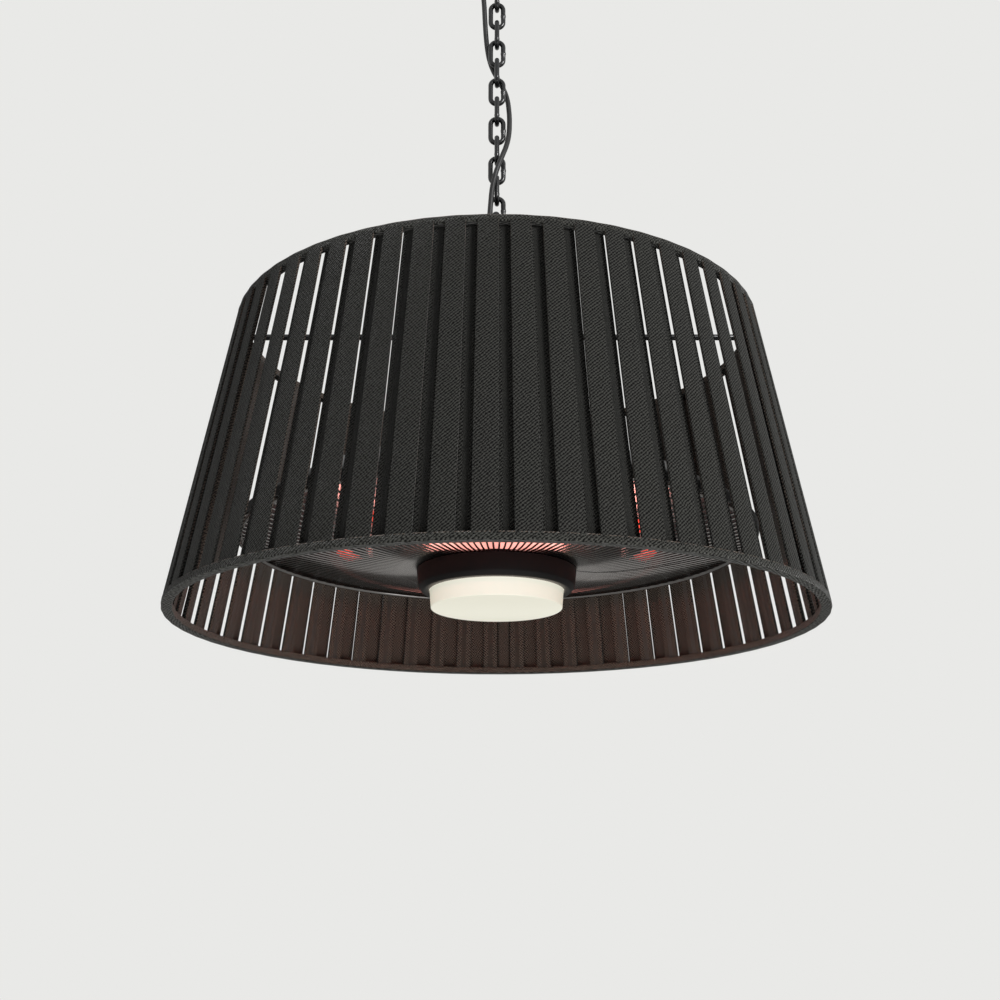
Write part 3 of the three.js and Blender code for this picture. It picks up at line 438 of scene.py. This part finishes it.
# Shade: sixty straps of charcoal twill webbing outside and sixty inside, staggered by half a step,
# sewn round a ring above and a ring below. Binding of the same cloth covers both rims.
def twill(name, groove_shade, ridge, rib=2.1, depth=0.6, fluff=1.1, sheen=0.12):
    """Twill cloth on the map named weave, in millimetres: rib is the distance between its diagonals and
    fluff the size of its tufts. The real yarns are near 1 mm; they are drawn twice as coarse so that
    they show. The side that faces the heater is lighter and warmer: the heater's glow is painted
    in here and isn't light from the tube."""
    material = bpy.data.materials.new(name)
    material.use_nodes = True
    tree = material.node_tree
    shader = tree.nodes["Principled BSDF"]
    shader.inputs["Roughness"].default_value = 0.95
    shader.inputs["Specular IOR Level"].default_value = 0.1
    shader.inputs["Sheen Weight"].default_value = sheen
    shader.inputs["Sheen Roughness"].default_value = 0.25
    cloth = add(tree, "UVMap", uv_map="weave").outputs[0]
    wander = add(tree, "TexNoise", {"Scale": 0.11, "Detail": 3}, {"Vector": cloth})
    stir = add(tree, "VectorMath", {1: (-0.5, -0.5, -0.5)}, {0: wander.outputs["Color"]})
    push = add(tree, "VectorMath", {"Scale": 1.6}, {0: stir.outputs[0]}, operation="SCALE")
    laid = add(tree, "VectorMath", links={0: cloth, 1: push.outputs[0]})
    diagonal = add(tree, "Mapping", {"Rotation": (0, 0, math.radians(-42))}, {0: laid.outputs[0]})

    def bands(pitch, direction, distortion):
        """Wavy stripes across or along the diagonals."""
        return add(
            tree,
            "TexWave",
            {
                "Scale": 2 * math.pi / 20 / pitch, "Distortion": distortion, "Detail": 2,
                "Detail Scale": 1.5,
            },
            {0: diagonal.outputs[0]},
            bands_direction=direction,
        ).outputs[1]

    def weighted(source, weight, onto=None):
        """A part of the height, scaled and laid on what is there already."""
        part = add(tree, "Math", {1: weight}, {0: source}, operation="MULTIPLY").outputs[0]
        return part if onto is None else add(tree, "Math", links={0: part, 1: onto}).outputs[0]

    fuzz = add(tree, "TexNoise", {"Scale": 1 / fluff, "Detail": 4}, {"Vector": cloth}).outputs[0]
    height = weighted(bands(rib, "Y", 3), 0.8)
    height = weighted(bands(rib * 1.3, "X", 4), 0.4, height)
    height = weighted(fuzz, 1.2 * fluff, height)
    # The weave's low parts take the dark colour: painted shade in its grooves, laid over the tufts' own
    # random tone.
    ramp = add(tree, "MapRange", {1: 0.2 + 0.6 * fluff, 2: 1 + 0.6 * fluff}, {0: height})
    shade = add(
        tree,
        "Mix",
        {6: linear(groove_shade), 7: linear(ridge)},
        {0: ramp.outputs[0]},
        data_type="RGBA",
    )
    place = add(tree, "TexCoord").outputs
    away = add(
        tree,
        "VectorMath",
        links={0: place["Normal"], 1: place["Object"]},
        operation="DOT_PRODUCT",
    ).outputs["Value"]
    inward = add(tree, "MapRange", {1: 0.02, 2: -0.02}, {0: away}).outputs[0]
    warmed = add(
        tree,
        "Mix",
        {7: (2.5, 1.95, 1.75, 1)},
        {0: inward, 6: shade.outputs[2]},
        data_type="RGBA",
        blend_type="MULTIPLY",
    )
    tree.links.new(warmed.outputs[2], shader.inputs["Base Color"])
    bump = add(tree, "Bump", {"Strength": 1, "Distance": depth / 1000}, {"Height": height})
    tree.links.new(bump.outputs[0], shader.inputs["Normal"])
    return material


# Woven solution-dyed acrylic: matt charcoal. Its dark grooves between the diagonals are painted shade.
# The binding is a tufted weave of it.
charcoal_twill = twill("charcoal_twill_webbing", "#090909", "#40403d")
rim_twill = twill("charcoal_twill_binding", "#121211", "#4c4c48", depth=0.9, fluff=2, sheen=0.2)

strap_count = 60
strap_step = 2 * math.pi / strap_count
strap_phase = 0.242 * strap_step
rim_radius, top_radius, shade_height = 300, 248.8, 282.6


def shade_radius(height):
    """Radius of the shade's outer face, in millimetres."""
    return rim_radius - (rim_radius - top_radius) * height / shade_height


slant = 1.016
cut_across, cut_along = 41, 17.3


def weave_map(mesh, middle):
    """Lays the cloth's map on a layer of straps, in millimetres; each strap is cut from its own place.
    slant is the shade's length along its slope over its height."""
    layer = mesh.loops.layers.uv.new("weave")
    for face in mesh.faces:
        centre = face.calc_center_median()
        strap = round((math.atan2(centre.x, -centre.y) - middle) / strap_step)
        for loop in face.loops:
            co = loop.vert.co
            radius = co.xy.length
            across = math.atan2(co.x, -co.y) - middle - strap * strap_step
            across = (across + math.pi) % (2 * math.pi) - math.pi
            along = (co.z - rim(0)) * (1000 * slant)
            sunk = shade_radius(along / slant) - radius * 1000
            side = across * radius * 1000 + math.copysign(sunk, across)
            loop[layer].uv = (side + strap * cut_across, along + strap * cut_along)


def strap_layer(depth, share, middle, low, high):
    """Sixty straps in a ring: each is a strip of grid, given its thickness and soft edges."""
    mesh = bmesh.new()
    bmesh.ops.create_grid(mesh, x_segments=3, y_segments=8, size=0.5)
    for point in mesh.verts:
        height = low + (point.co.y + 0.5) * (high - low)
        angle = middle + point.co.x * strap_step * share
        radius = (shade_radius(height) - depth) / 1000
        point.co = (radius * math.sin(angle), -radius * math.cos(angle), rim(height))
    outward = Vector((math.sin(middle), -math.cos(middle), 0))
    if mesh.faces[:][0].normal.dot(outward) < 0:
        bmesh.ops.reverse_faces(mesh, faces=mesh.faces)
    bmesh.ops.recalc_face_normals(mesh, faces=mesh.faces)
    if sum(f.normal.dot(outward) for f in mesh.faces) < 0:
        bmesh.ops.reverse_faces(mesh, faces=mesh.faces)
    bmesh.ops.solidify(mesh, geom=mesh.faces[:], thickness=0.0025)
    eased(mesh, 0.7)
    bmesh.ops.spin(
        mesh, geom=mesh.faces[:] + mesh.edges[:] + mesh.verts[:], cent=(0, 0, 0), axis=(0, 0, 1),
        angle=2 * math.pi, steps=strap_count, use_duplicate=True,
    )
    bmesh.ops.remove_doubles(mesh, verts=mesh.verts, dist=1e-7)
    weave_map(mesh, middle)
    return mesh


strap_foot, strap_head = 4, 278.6
outer_layer = strap_layer(0, 0.64, -strap_phase, strap_foot, strap_head)
finished("outer_straps", outer_layer, charcoal_twill, "lamp", "textile", "shade_outer_straps")
inner_layer = strap_layer(6.7, 0.5, strap_step / 2 - strap_phase, strap_foot, strap_head)
finished("inner_straps", inner_layer, charcoal_twill, "lamp", "textile", "shade_inner_straps")


def binding(low, high, inner_low, inner_high):
    """The cloth-covered rim: one soft ring over the ends of both layers, a little fuller over each outer
    strap, with the cloth's map round it."""
    outline = [
        (shade_radius(low) - 0.2, low),
        (shade_radius(high) + 0.3, high),
        (shade_radius(high) - inner_high, high),
        (shade_radius(low) - inner_low, low),
    ]
    mesh = turned(outline, 480)
    eased(mesh, 1.3, 3)
    for point in mesh.verts:
        turn = math.atan2(point.co.x, -point.co.y)
        full = 0.0002 * (math.cos(strap_count * turn + strap_count * strap_phase) - 1)
        point.co.xy *= 1 + full / point.co.xy.length
    layer = mesh.loops.layers.uv.new("weave")
    for face in mesh.faces:
        middle = face.calc_center_median()
        around = math.atan2(middle.x, -middle.y)
        stretch = 90 if face.normal.z < -0.7 else 290
        for loop in face.loops:
            co = loop.vert.co
            turn = math.atan2(co.x, -co.y)
            turn = around + (turn - around + math.pi) % (2 * math.pi) - math.pi
            loop[layer].uv = (turn * stretch, (co.z - co.xy.length) * 1000)
    return mesh


finished("bottom_binding", binding(0.1, 7, 9.9, 9.3), rim_twill, "lamp", "textile")
finished("top_binding", binding(275.6, 282.5, 9.3, 9.3), rim_twill, "lamp", "textile")


# Shade frame: a steel hoop at each rim, and six flat ribs between the two layers of straps. None of it
# shows in the photograph. The ribs have the straps' cloth because black ones showed as dark bars.
def hoop(low, high):
    """A flat hoop between the layers, from one height to another."""
    front = [(shade_radius(z) - 3.3, z) for z in (low, high)]
    back = [(shade_radius(z) - 6.1, z) for z in (high, low)]
    return turned(front + back, 240, 0.4)


def rib(angle):
    """One flat rib, 12 mm wide, that leans in with the straps."""
    mesh = bmesh.new()
    bmesh.ops.create_cube(mesh, size=1)
    for point in mesh.verts:
        height = 3 if point.co.z < 0 else 279.6
        radius = shade_radius(height) - (3.6 if point.co.y < 0 else 5.8)
        point.co = (point.co.x * 0.012, -radius / 1000, rim(height))
    bmesh.ops.rotate(mesh, verts=mesh.verts, matrix=Matrix.Rotation(angle, 3, "Z"))
    return eased(mesh, 0.4)


# A fine-textured, matt black powder coat that hides behind the cloth.
textured_coat = coat("matt_black_powder_coat", "#151514", 0.85, grain=0.7, depth=0.06)
hoops = together(hoop(2.5, 6.8), hoop(275.8, 280.1))
finished("frame_hoops", hoops, textured_coat, "lamp", "steel", "shade_frame")
ribs = together(*[rib(index * math.pi / 3 - strap_phase) for index in range(6)])
weave_map(ribs, -strap_phase)
finished("bound_ribs", ribs, charcoal_twill, "lamp", "textile")


# Stem: a steel tube with a welded flange, drawn solid, as its bore doesn't show. The heater's housing
# hangs under the flange and the lamp is screwed to the stud at its foot.
stem_outline = [
    (0, 38), (4, 38), (4, 49.3), (8, 49.3), (8, 124.7), (24, 124.7), (24, 128.7), (10.5, 129.5),
    (8, 133), (8, 276.6), (0, 276.6),
]
stem_tube = turned(stem_outline, 64, 0.5, closed=False)
finished("stem_tube", stem_tube, gloss_powder_coat, "lamp", "steel", "stem")
dressed("stem_nut", gloss_powder_coat)


# Housing: a pan spun from 1.6 mm steel, with a turned-down edge and a raised crown, in stove enamel.
housing_outline = [
    (8.3, 124.4), (161, 124.4), (196, 112.4), (236, 87), (240.9, 82), (240.9, 74), (239.3, 74),
    (239.3, 81.2), (235.2, 85.4), (195.2, 110.8), (160.2, 122.8), (8.3, 122.8),
]
housing_pan = turned(housing_outline, 144, 0.7)
finished("housing_pan", housing_pan, stove_enamel, "lamp", "enamel", "heater_housing")


# Terminal box: a folded steel box on the housing, closed by a lid with four screws, with a steatite
# terminal block inside. The inner lead goes in through a nylon gland.
def block(size, centre, ease):
    """A box with eased edges; size and centre in millimetres."""
    mesh = bmesh.new()
    x, y, z = centre
    bmesh.ops.create_cube(
        mesh, size=1, matrix=Matrix.Translation((x / 1000, y / 1000, rim(z)))
        @ Matrix.Diagonal((size[0] / 1000, size[1] / 1000, size[2] / 1000, 1)),
    )
    return eased(mesh, ease, 3)


def lid_with_screws():
    """The lid and its four pan-head screws, without the slots in their heads."""
    parts = [block((90, 56, 2.5), (-78, 0, 154.25), 0.9)]
    for x, y in ((-117, -22), (-117, 22), (-39, -22), (-39, 22)):
        parts.append(rod((x, y, 155), (x, y, 157.2), 5.6, 24, 0.8))
    return together(*parts)


box_shell = finished(
    "box_shell", block((90, 56, 28), (-78, 0, 138.7), 1.2), stove_enamel, "lamp", "enamel", "terminal_box"
)
drilled(box_shell, block((86, 52, 30), (-78, 0, 141.7), 0.5))
box_lid = finished("box_lid", lid_with_screws(), stove_enamel, "lamp", "enamel", "terminal_box_lid")
drilled(box_lid, rod((gland_x, hole_y, 150), (gland_x, hole_y, 158), 12.6, 48))
# Unglazed steatite: a chalky off-white ceramic.
steatite = coat("unglazed_steatite", "#ded8c9", 0.75, grain=0.5, depth=0.04)
dressed("terminal_block", steatite)

# Moulded nylon and ABS: plain black with a fine spark-eroded grain.
moulded_black = coat("moulded_black_plastic", "#121213", 0.46, grain=0.6, depth=0.02)
gland_outline = [
    (2.9, 150.3), (6, 150.3), (6, 155.8), (9, 155.8), (9, 161.5), (7.4, 161.8), (6.6, 166.5),
    (4.4, 167.8), (2.9, 167.8),
]
gland_nut = turned(gland_outline, 48, 0.35, at=(gland_x, hole_y))
finished("gland_body", gland_nut, moulded_black, "lamp", "plastic", "cable_gland")


# Reflector: a ring dish spun from bright aluminium. It sends the tube's light and heat down.
def bright_metal(name, colour, roughness):
    """Polished metal with the fine circles of the spinning lathe in its roughness."""
    material = bpy.data.materials.new(name)
    material.use_nodes = True
    tree = material.node_tree
    shader = tree.nodes["Principled BSDF"]
    shader.inputs["Metallic"].default_value = 1.0
    shader.inputs["Base Color"].default_value = linear(colour)
    place = add(tree, "TexCoord").outputs["Object"]
    rings = add(
        tree,
        "TexWave",
        {"Scale": 2 * math.pi / 20 / 0.0022, "Distortion": 2, "Detail": 2},
        {0: place},
        wave_type="RINGS",
        rings_direction="Z",
    )
    spread = add(tree, "MapRange", {3: roughness * 0.8, 4: roughness * 1.3}, {0: rings.outputs[1]})
    tree.links.new(spread.outputs[0], shader.inputs["Roughness"])
    bump = add(tree, "Bump", {"Strength": 1, "Distance": 0.00001}, {"Height": rings.outputs[1]})
    tree.links.new(bump.outputs[0], shader.inputs["Normal"])
    return material


# Rolled aluminium sheet, brightened: a satin shine that spreads the tube's light into broad patches.
bright_aluminium = bright_metal("bright_rolled_aluminium", "#c9c8c8", 0.3)
dish_under = [
    (67, 53.2), (67.5, 62), (68.5, 71), (70.8, 80), (76, 89.5), (84, 96.5), (96, 102), (110, 106),
    (126, 108), (166, 108), (176, 106.3),
]


def sheet_ring(under):
    """A ring of 1.2 mm sheet over an outline of its underside."""
    return turned(under + [(r, z + 1.2) for r, z in reversed(under)], 144)


reflector_dish = finished(
    "reflector_dish", sheet_ring(dish_under), bright_aluminium, "lamp", "aluminium", "reflector"
)
# The flange outside the tube has the housing's black enamel. That is a guess: with a bright one
# the guard showed an orange band that the photograph doesn't have.
flange_under = [(176.2, 106.3), (184, 105), (201, 98), (218, 89), (236, 77.8)]
finished("reflector_flange", sheet_ring(flange_under), stove_enamel, "lamp", "enamel")
tube_radius, tube_half_gap = 146, math.radians(12)
for side in (-1, 1):
    tube_x, tube_y = side * tube_radius * math.sin(tube_half_gap), tube_radius * math.cos(tube_half_gap)
    drilled(reflector_dish, rod((tube_x, tube_y, 100), (tube_x, tube_y, 116), 12.8, 32))


# Heating tube: a quartz tube round the lamp with a glowing filament, its ends turned up into two
# ceramic caps, held by three aluminium clips.
def glowing(name, colour, strength, edge_colour, edge_strength, base, cast, cast_colour):
    """A lit surface, a little different at its edge. cast is how many times brighter it is for the pieces
    round it than it is shown, in another colour: a setting for the look, not physical light."""
    material = bpy.data.materials.new(name)
    material.use_nodes = True
    tree = material.node_tree
    shader = tree.nodes["Principled BSDF"]
    shader.inputs["Base Color"].default_value = linear(base)
    shader.inputs["Roughness"].default_value = 0.3
    facing = add(tree, "LayerWeight", {"Blend": 0.4}).outputs["Facing"]
    light = add(
        tree,
        "Mix",
        {6: linear(colour), 7: linear(edge_colour)},
        {0: facing},
        data_type="RGBA",
    )
    power = add(tree, "MapRange", {3: strength, 4: edge_strength}, {0: facing})
    seen = add(tree, "LightPath").outputs["Is Camera Ray"]
    gain = add(tree, "MapRange", {3: cast, 4: 1}, {0: seen})
    sent = add(tree, "Math", links={0: power.outputs[0], 1: gain.outputs[0]}, operation="MULTIPLY")
    hue = add(
        tree,
        "Mix",
        {6: linear(cast_colour)},
        {0: seen, 7: light.outputs[2]},
        data_type="RGBA",
    )
    tree.links.new(hue.outputs[2], shader.inputs["Emission Color"])
    tree.links.new(sent.outputs[0], shader.inputs["Emission Strength"])
    return material


# Quartz round a red-hot filament, drawn as one glowing rod: lighter in its middle, deep red at its sides.
glowing_quartz = glowing(
    "glowing_quartz_tube", "#f04c38", 2.3, "#c02c20", 1.7, "#4a1a14", 5, "#ffa093"
)


def bent_tube():
    """The ring part of the tube is spun, and each end is bent up and drawn through the reflector."""
    mesh = bmesh.new()
    ring, bend = tube_radius / 1000, math.radians(5)
    start = math.pi / 2 + tube_half_gap + bend
    place = Matrix.Rotation(start, 4, "Z") @ Matrix.Translation((ring, 0, rim(72)))
    bmesh.ops.create_circle(
        mesh, segments=20, radius=0.0055, matrix=place @ Matrix.Rotation(math.pi / 2, 4, "X")
    )
    first = mesh.edges[:]
    last = bmesh.ops.spin(
        mesh, geom=mesh.edges[:] + mesh.verts[:], cent=(0, 0, 0), axis=(0, 0, 1),
        angle=2 * math.pi - 2 * (tube_half_gap + bend), steps=120,
    )["geom_last"]
    last = [g for g in last if isinstance(g, bmesh.types.BMEdge)]
    for edges, turn, sense in ((first, start, 1), (last, math.pi - start, -1)):
        radius = ring * bend
        outward = Vector((math.cos(turn), math.sin(turn), 0))
        pivot = outward * ring + Vector((0, 0, rim(72) + radius))
        out = bmesh.ops.spin(
            mesh, geom=edges + list({v for e in edges for v in e.verts}), cent=pivot,
            axis=outward * sense, angle=math.pi / 2, steps=10,
        )["geom_last"]
        end = [g for g in out if isinstance(g, bmesh.types.BMEdge)]
        up = bmesh.ops.extrude_edge_only(mesh, edges=end)["geom"]
        for point in (g for g in up if isinstance(g, bmesh.types.BMVert)):
            point.co.z = rim(115)
    bmesh.ops.recalc_face_normals(mesh, faces=mesh.faces)
    return mesh


finished("quartz_tube", bent_tube(), glowing_quartz, "lamp", "hot", "heating_tube")
for name in ("end_cap_right", "end_cap_left"):
    dressed(name, steatite)
for index in range(1, 4):
    dressed(f"tube_clip_{index}", bright_aluminium)


# Guard: a hundred and twenty 1.8 mm steel wires, drawn down under the tube, and welded to a thick outer
# ring and to a small ring over the lamp. It keeps hands off the tube. The number of wires is a fit to the
# photograph and not a count, and other fits gave fewer.
def wire_ring(radius, height, diameter, sides=16):
    """A ring of round wire; sizes in millimetres."""
    mesh = bmesh.new()
    bmesh.ops.create_circle(
        mesh, segments=sides, radius=diameter / 2000,
        matrix=Matrix.Translation((radius / 1000, 0, rim(height))) @ Matrix.Rotation(math.pi / 2, 4, "X"),
    )
    bmesh.ops.spin(
        mesh, geom=mesh.edges[:] + mesh.verts[:], cent=(0, 0, 0), axis=(0, 0, 1), angle=2 * math.pi,
        steps=192, use_merge=True,
    )
    bmesh.ops.recalc_face_normals(mesh, faces=mesh.faces)
    return mesh


lamp_ring, outer_ring = (67, 51.1), (236, 74)
wire_bends = [
    lamp_ring, (78, 49.3), (92, 48.4), (112, 49.3), (132, 51.5), (150, 54.4), (170, 58.3),
    (190, 62.8), (213, 68.3), outer_ring,
]


def radial_wires(count):
    """One bent wire, drawn from bend to bend, and copied round the guard."""
    mesh = bmesh.new()
    start = Vector((wire_bends[0][0] / 1000, 0, rim(wire_bends[0][1])))
    upright = Matrix.Rotation(math.pi / 2, 4, "Y")
    bmesh.ops.create_circle(mesh, segments=6, radius=0.0009, matrix=Matrix.Translation(start) @ upright)
    end, here = mesh.edges[:], start
    for r, z in wire_bends[1:]:
        out = bmesh.ops.extrude_edge_only(mesh, edges=end)["geom"]
        there = Vector((r / 1000, 0, rim(z)))
        points = [g for g in out if isinstance(g, bmesh.types.BMVert)]
        bmesh.ops.translate(mesh, verts=points, vec=there - here)
        end, here = [g for g in out if isinstance(g, bmesh.types.BMEdge)], there
    bmesh.ops.holes_fill(mesh, edges=mesh.edges, sides=6)
    bmesh.ops.recalc_face_normals(mesh, faces=mesh.faces)
    turn = Matrix.Rotation(math.pi / count, 3, "Z")
    bmesh.ops.rotate(mesh, verts=mesh.verts, matrix=turn, cent=(0, 0, 0))
    bmesh.ops.spin(
        mesh, geom=mesh.faces[:] + mesh.edges[:] + mesh.verts[:], cent=(0, 0, 0), axis=(0, 0, 1),
        angle=2 * math.pi, steps=count, use_duplicate=True,
    )
    bmesh.ops.remove_doubles(mesh, verts=mesh.verts, dist=1e-7)
    return mesh


guard_parts = together(wire_ring(*lamp_ring, 3.6), radial_wires(120))
# Black nickel on bright steel: a dark mirror that shows each wire as a light line. Its upper side is
# painted shade: darkened to near black against an orange band from the tube's light, for the look and no real
# finish.
black_nickel = coat("black_nickel_plate", "#5a5856", 0.22, metallic=1.0, grain=1.6, depth=0.01)
nickel_tree = black_nickel.node_tree
nickel_shader = nickel_tree.nodes["Principled BSDF"]
bright_side = nickel_shader.inputs["Base Color"].links[0].from_socket
# Faces that point up fade to near black: painted shade.
upright = add(
    nickel_tree, "SeparateXYZ", links={0: add(nickel_tree, "TexCoord").outputs["Normal"]}
).outputs["Z"]
painted_dark_top = add(nickel_tree, "MapRange", {1: -0.6, 2: 0.1}, {0: upright}).outputs[0]
top_shade_mix = add(
    nickel_tree,
    "Mix",
    {7: linear("#0b0b0b")},
    {0: painted_dark_top, 6: bright_side},
    data_type="RGBA",
)
nickel_tree.links.new(top_shade_mix.outputs[2], nickel_shader.inputs["Base Color"])
finished("guard_grille", guard_parts, black_nickel, "lamp", "steel", "wire_guard")
# The outer ring is smoother and paler, so that it shows the photograph's one bright line.
polished_nickel = coat("polished_black_nickel", "#8e8c8a", 0.12, metallic=1.0, grain=2, depth=0.005)
finished("guard_outer_ring", wire_ring(*outer_ring, 6.4, 20), polished_nickel, "lamp", "steel")


# Lamp: a moulded black collar, an aluminium heat sink, a white board of LEDs and an opal diffuser that
# glows all over. Its driver hangs from the housing beside the stem.
collar_outline = [
    (4.3, 49), (74, 49), (72.2, 33), (68.2, 29), (62.3, 29), (62.3, 32), (69.2, 32), (69.2, 46),
    (4.3, 46),
]
collar_cup = turned(collar_outline, 128, 0.7)
matt_black = coat("matt_black_polycarbonate", "#0a0a0b", 0.6, grain=0.6, depth=0.02)
matt_black.node_tree.nodes["Principled BSDF"].inputs["Specular IOR Level"].default_value = 0.15
finished("collar_cup", collar_cup, matt_black, "lamp", "plastic", "led_collar")

# Opal acrylic lit from inside: warm white, a little darker towards its edge.
lit_opal = glowing(
    "lit_opal_acrylic", "#f0eedf", 0.82, "#dad8c4", 0.66, "#8f8d84", 4, "#fff3df"
)
diffuser_outline = [
    (0, 13), (60.5, 13), (62, 32.3), (65.5, 32.3), (65.5, 34.3), (60, 34.3), (58.6, 15), (0, 15),
]
diffuser_cup = turned(diffuser_outline, 128, closed=False)
finished("diffuser_cup", eased(diffuser_cup, 3.2, 4), lit_opal, "lamp", "opal", "led_diffuser")

# White solder mask on the LED board.
solder_mask = coat("white_solder_mask", "#e6e8e3", 0.5, grain=0.6, depth=0.01)
dressed("led_board", solder_mask)
dressed("led_heat_sink", bright_aluminium)
dressed("lamp_nut", gloss_powder_coat)
dressed("led_driver", moulded_black)


# Studio: a pale floor under the heater, a broad key light at the front right, a weak one at the left, a
# broad one near the floor, and a pale surround.
floor_mesh = bmesh.new()
bmesh.ops.create_grid(
    floor_mesh, x_segments=1, y_segments=1, size=8, matrix=Matrix.Translation((0, 0, -2.7))
)
floor_data = bpy.data.meshes.new("pale_floor")
floor_mesh.to_mesh(floor_data)
floor_mesh.free()
pale_floor = bpy.data.objects.new("pale_floor", floor_data)
bpy.context.scene.collection.objects.link(pale_floor)
# Pale matt screed, kept pale for the camera where no light reaches it.
floor_colour = "#dcdbd8"
floor_coat = coat("pale_matt_floor", floor_colour, 0.9, grain=4, depth=0.05, mottle=0.02)
floor_tree = floor_coat.node_tree
floor_shader = floor_tree.nodes["Principled BSDF"]
floor_shader.inputs["Emission Color"].default_value = linear(floor_colour)
floor_seen = add(floor_tree, "LightPath").outputs["Is Camera Ray"]
lift = add(floor_tree, "Math", {1: 0.55}, {0: floor_seen}, operation="MULTIPLY")
floor_tree.links.new(lift.outputs[0], floor_shader.inputs["Emission Strength"])
floor_data.materials.append(floor_coat)


def studio_light(name, place, aim, size, power):
    """A square soft light that points at a place."""
    light = bpy.data.lights.new(name, "AREA")
    light.shape = "SQUARE"
    light.size = size
    light.energy = power
    lamp = bpy.data.objects.new(name, light)
    lamp.location = place
    lamp.rotation_euler = (Vector(aim) - Vector(place)).to_track_quat("-Z", "Y").to_euler()
    bpy.context.scene.collection.objects.link(lamp)


studio_light("key_light", (2.1, -2.6, 0.5), (0, 0, -0.6), 1.0, 100)
studio_light("fill_light", (-2.8, -1.6, 0.2), (0, 0, -0.6), 2.0, 5)
studio_light("low_light", (0.3, -0.9, -2.3), (0, 0.1, -0.7), 2.4, 32)

surround = bpy.data.worlds.new("pale_surround")
bpy.context.scene.world = surround
surround.use_nodes = True
sky = surround.node_tree
sky.nodes.clear()
soft = add(sky, "Background", {"Color": (1, 1, 1, 1), "Strength": 0.27})
seen = add(sky, "Background", {"Color": linear("#e9e9e7"), "Strength": 1})
path = add(sky, "LightPath")
shown = path.outputs["Is Camera Ray"]
for kind in ("Is Glossy Ray", "Is Transmission Ray"):
    shown = add(sky, "Math", links={0: shown, 1: path.outputs[kind]}, operation="MAXIMUM").outputs[0]
both = add(sky, "MixShader", links={0: shown, 1: soft.outputs[0], 2: seen.outputs[0]})
add(sky, "OutputWorld", links={0: both.outputs[0]})

bpy.context.scene.view_settings.view_transform = "Standard"
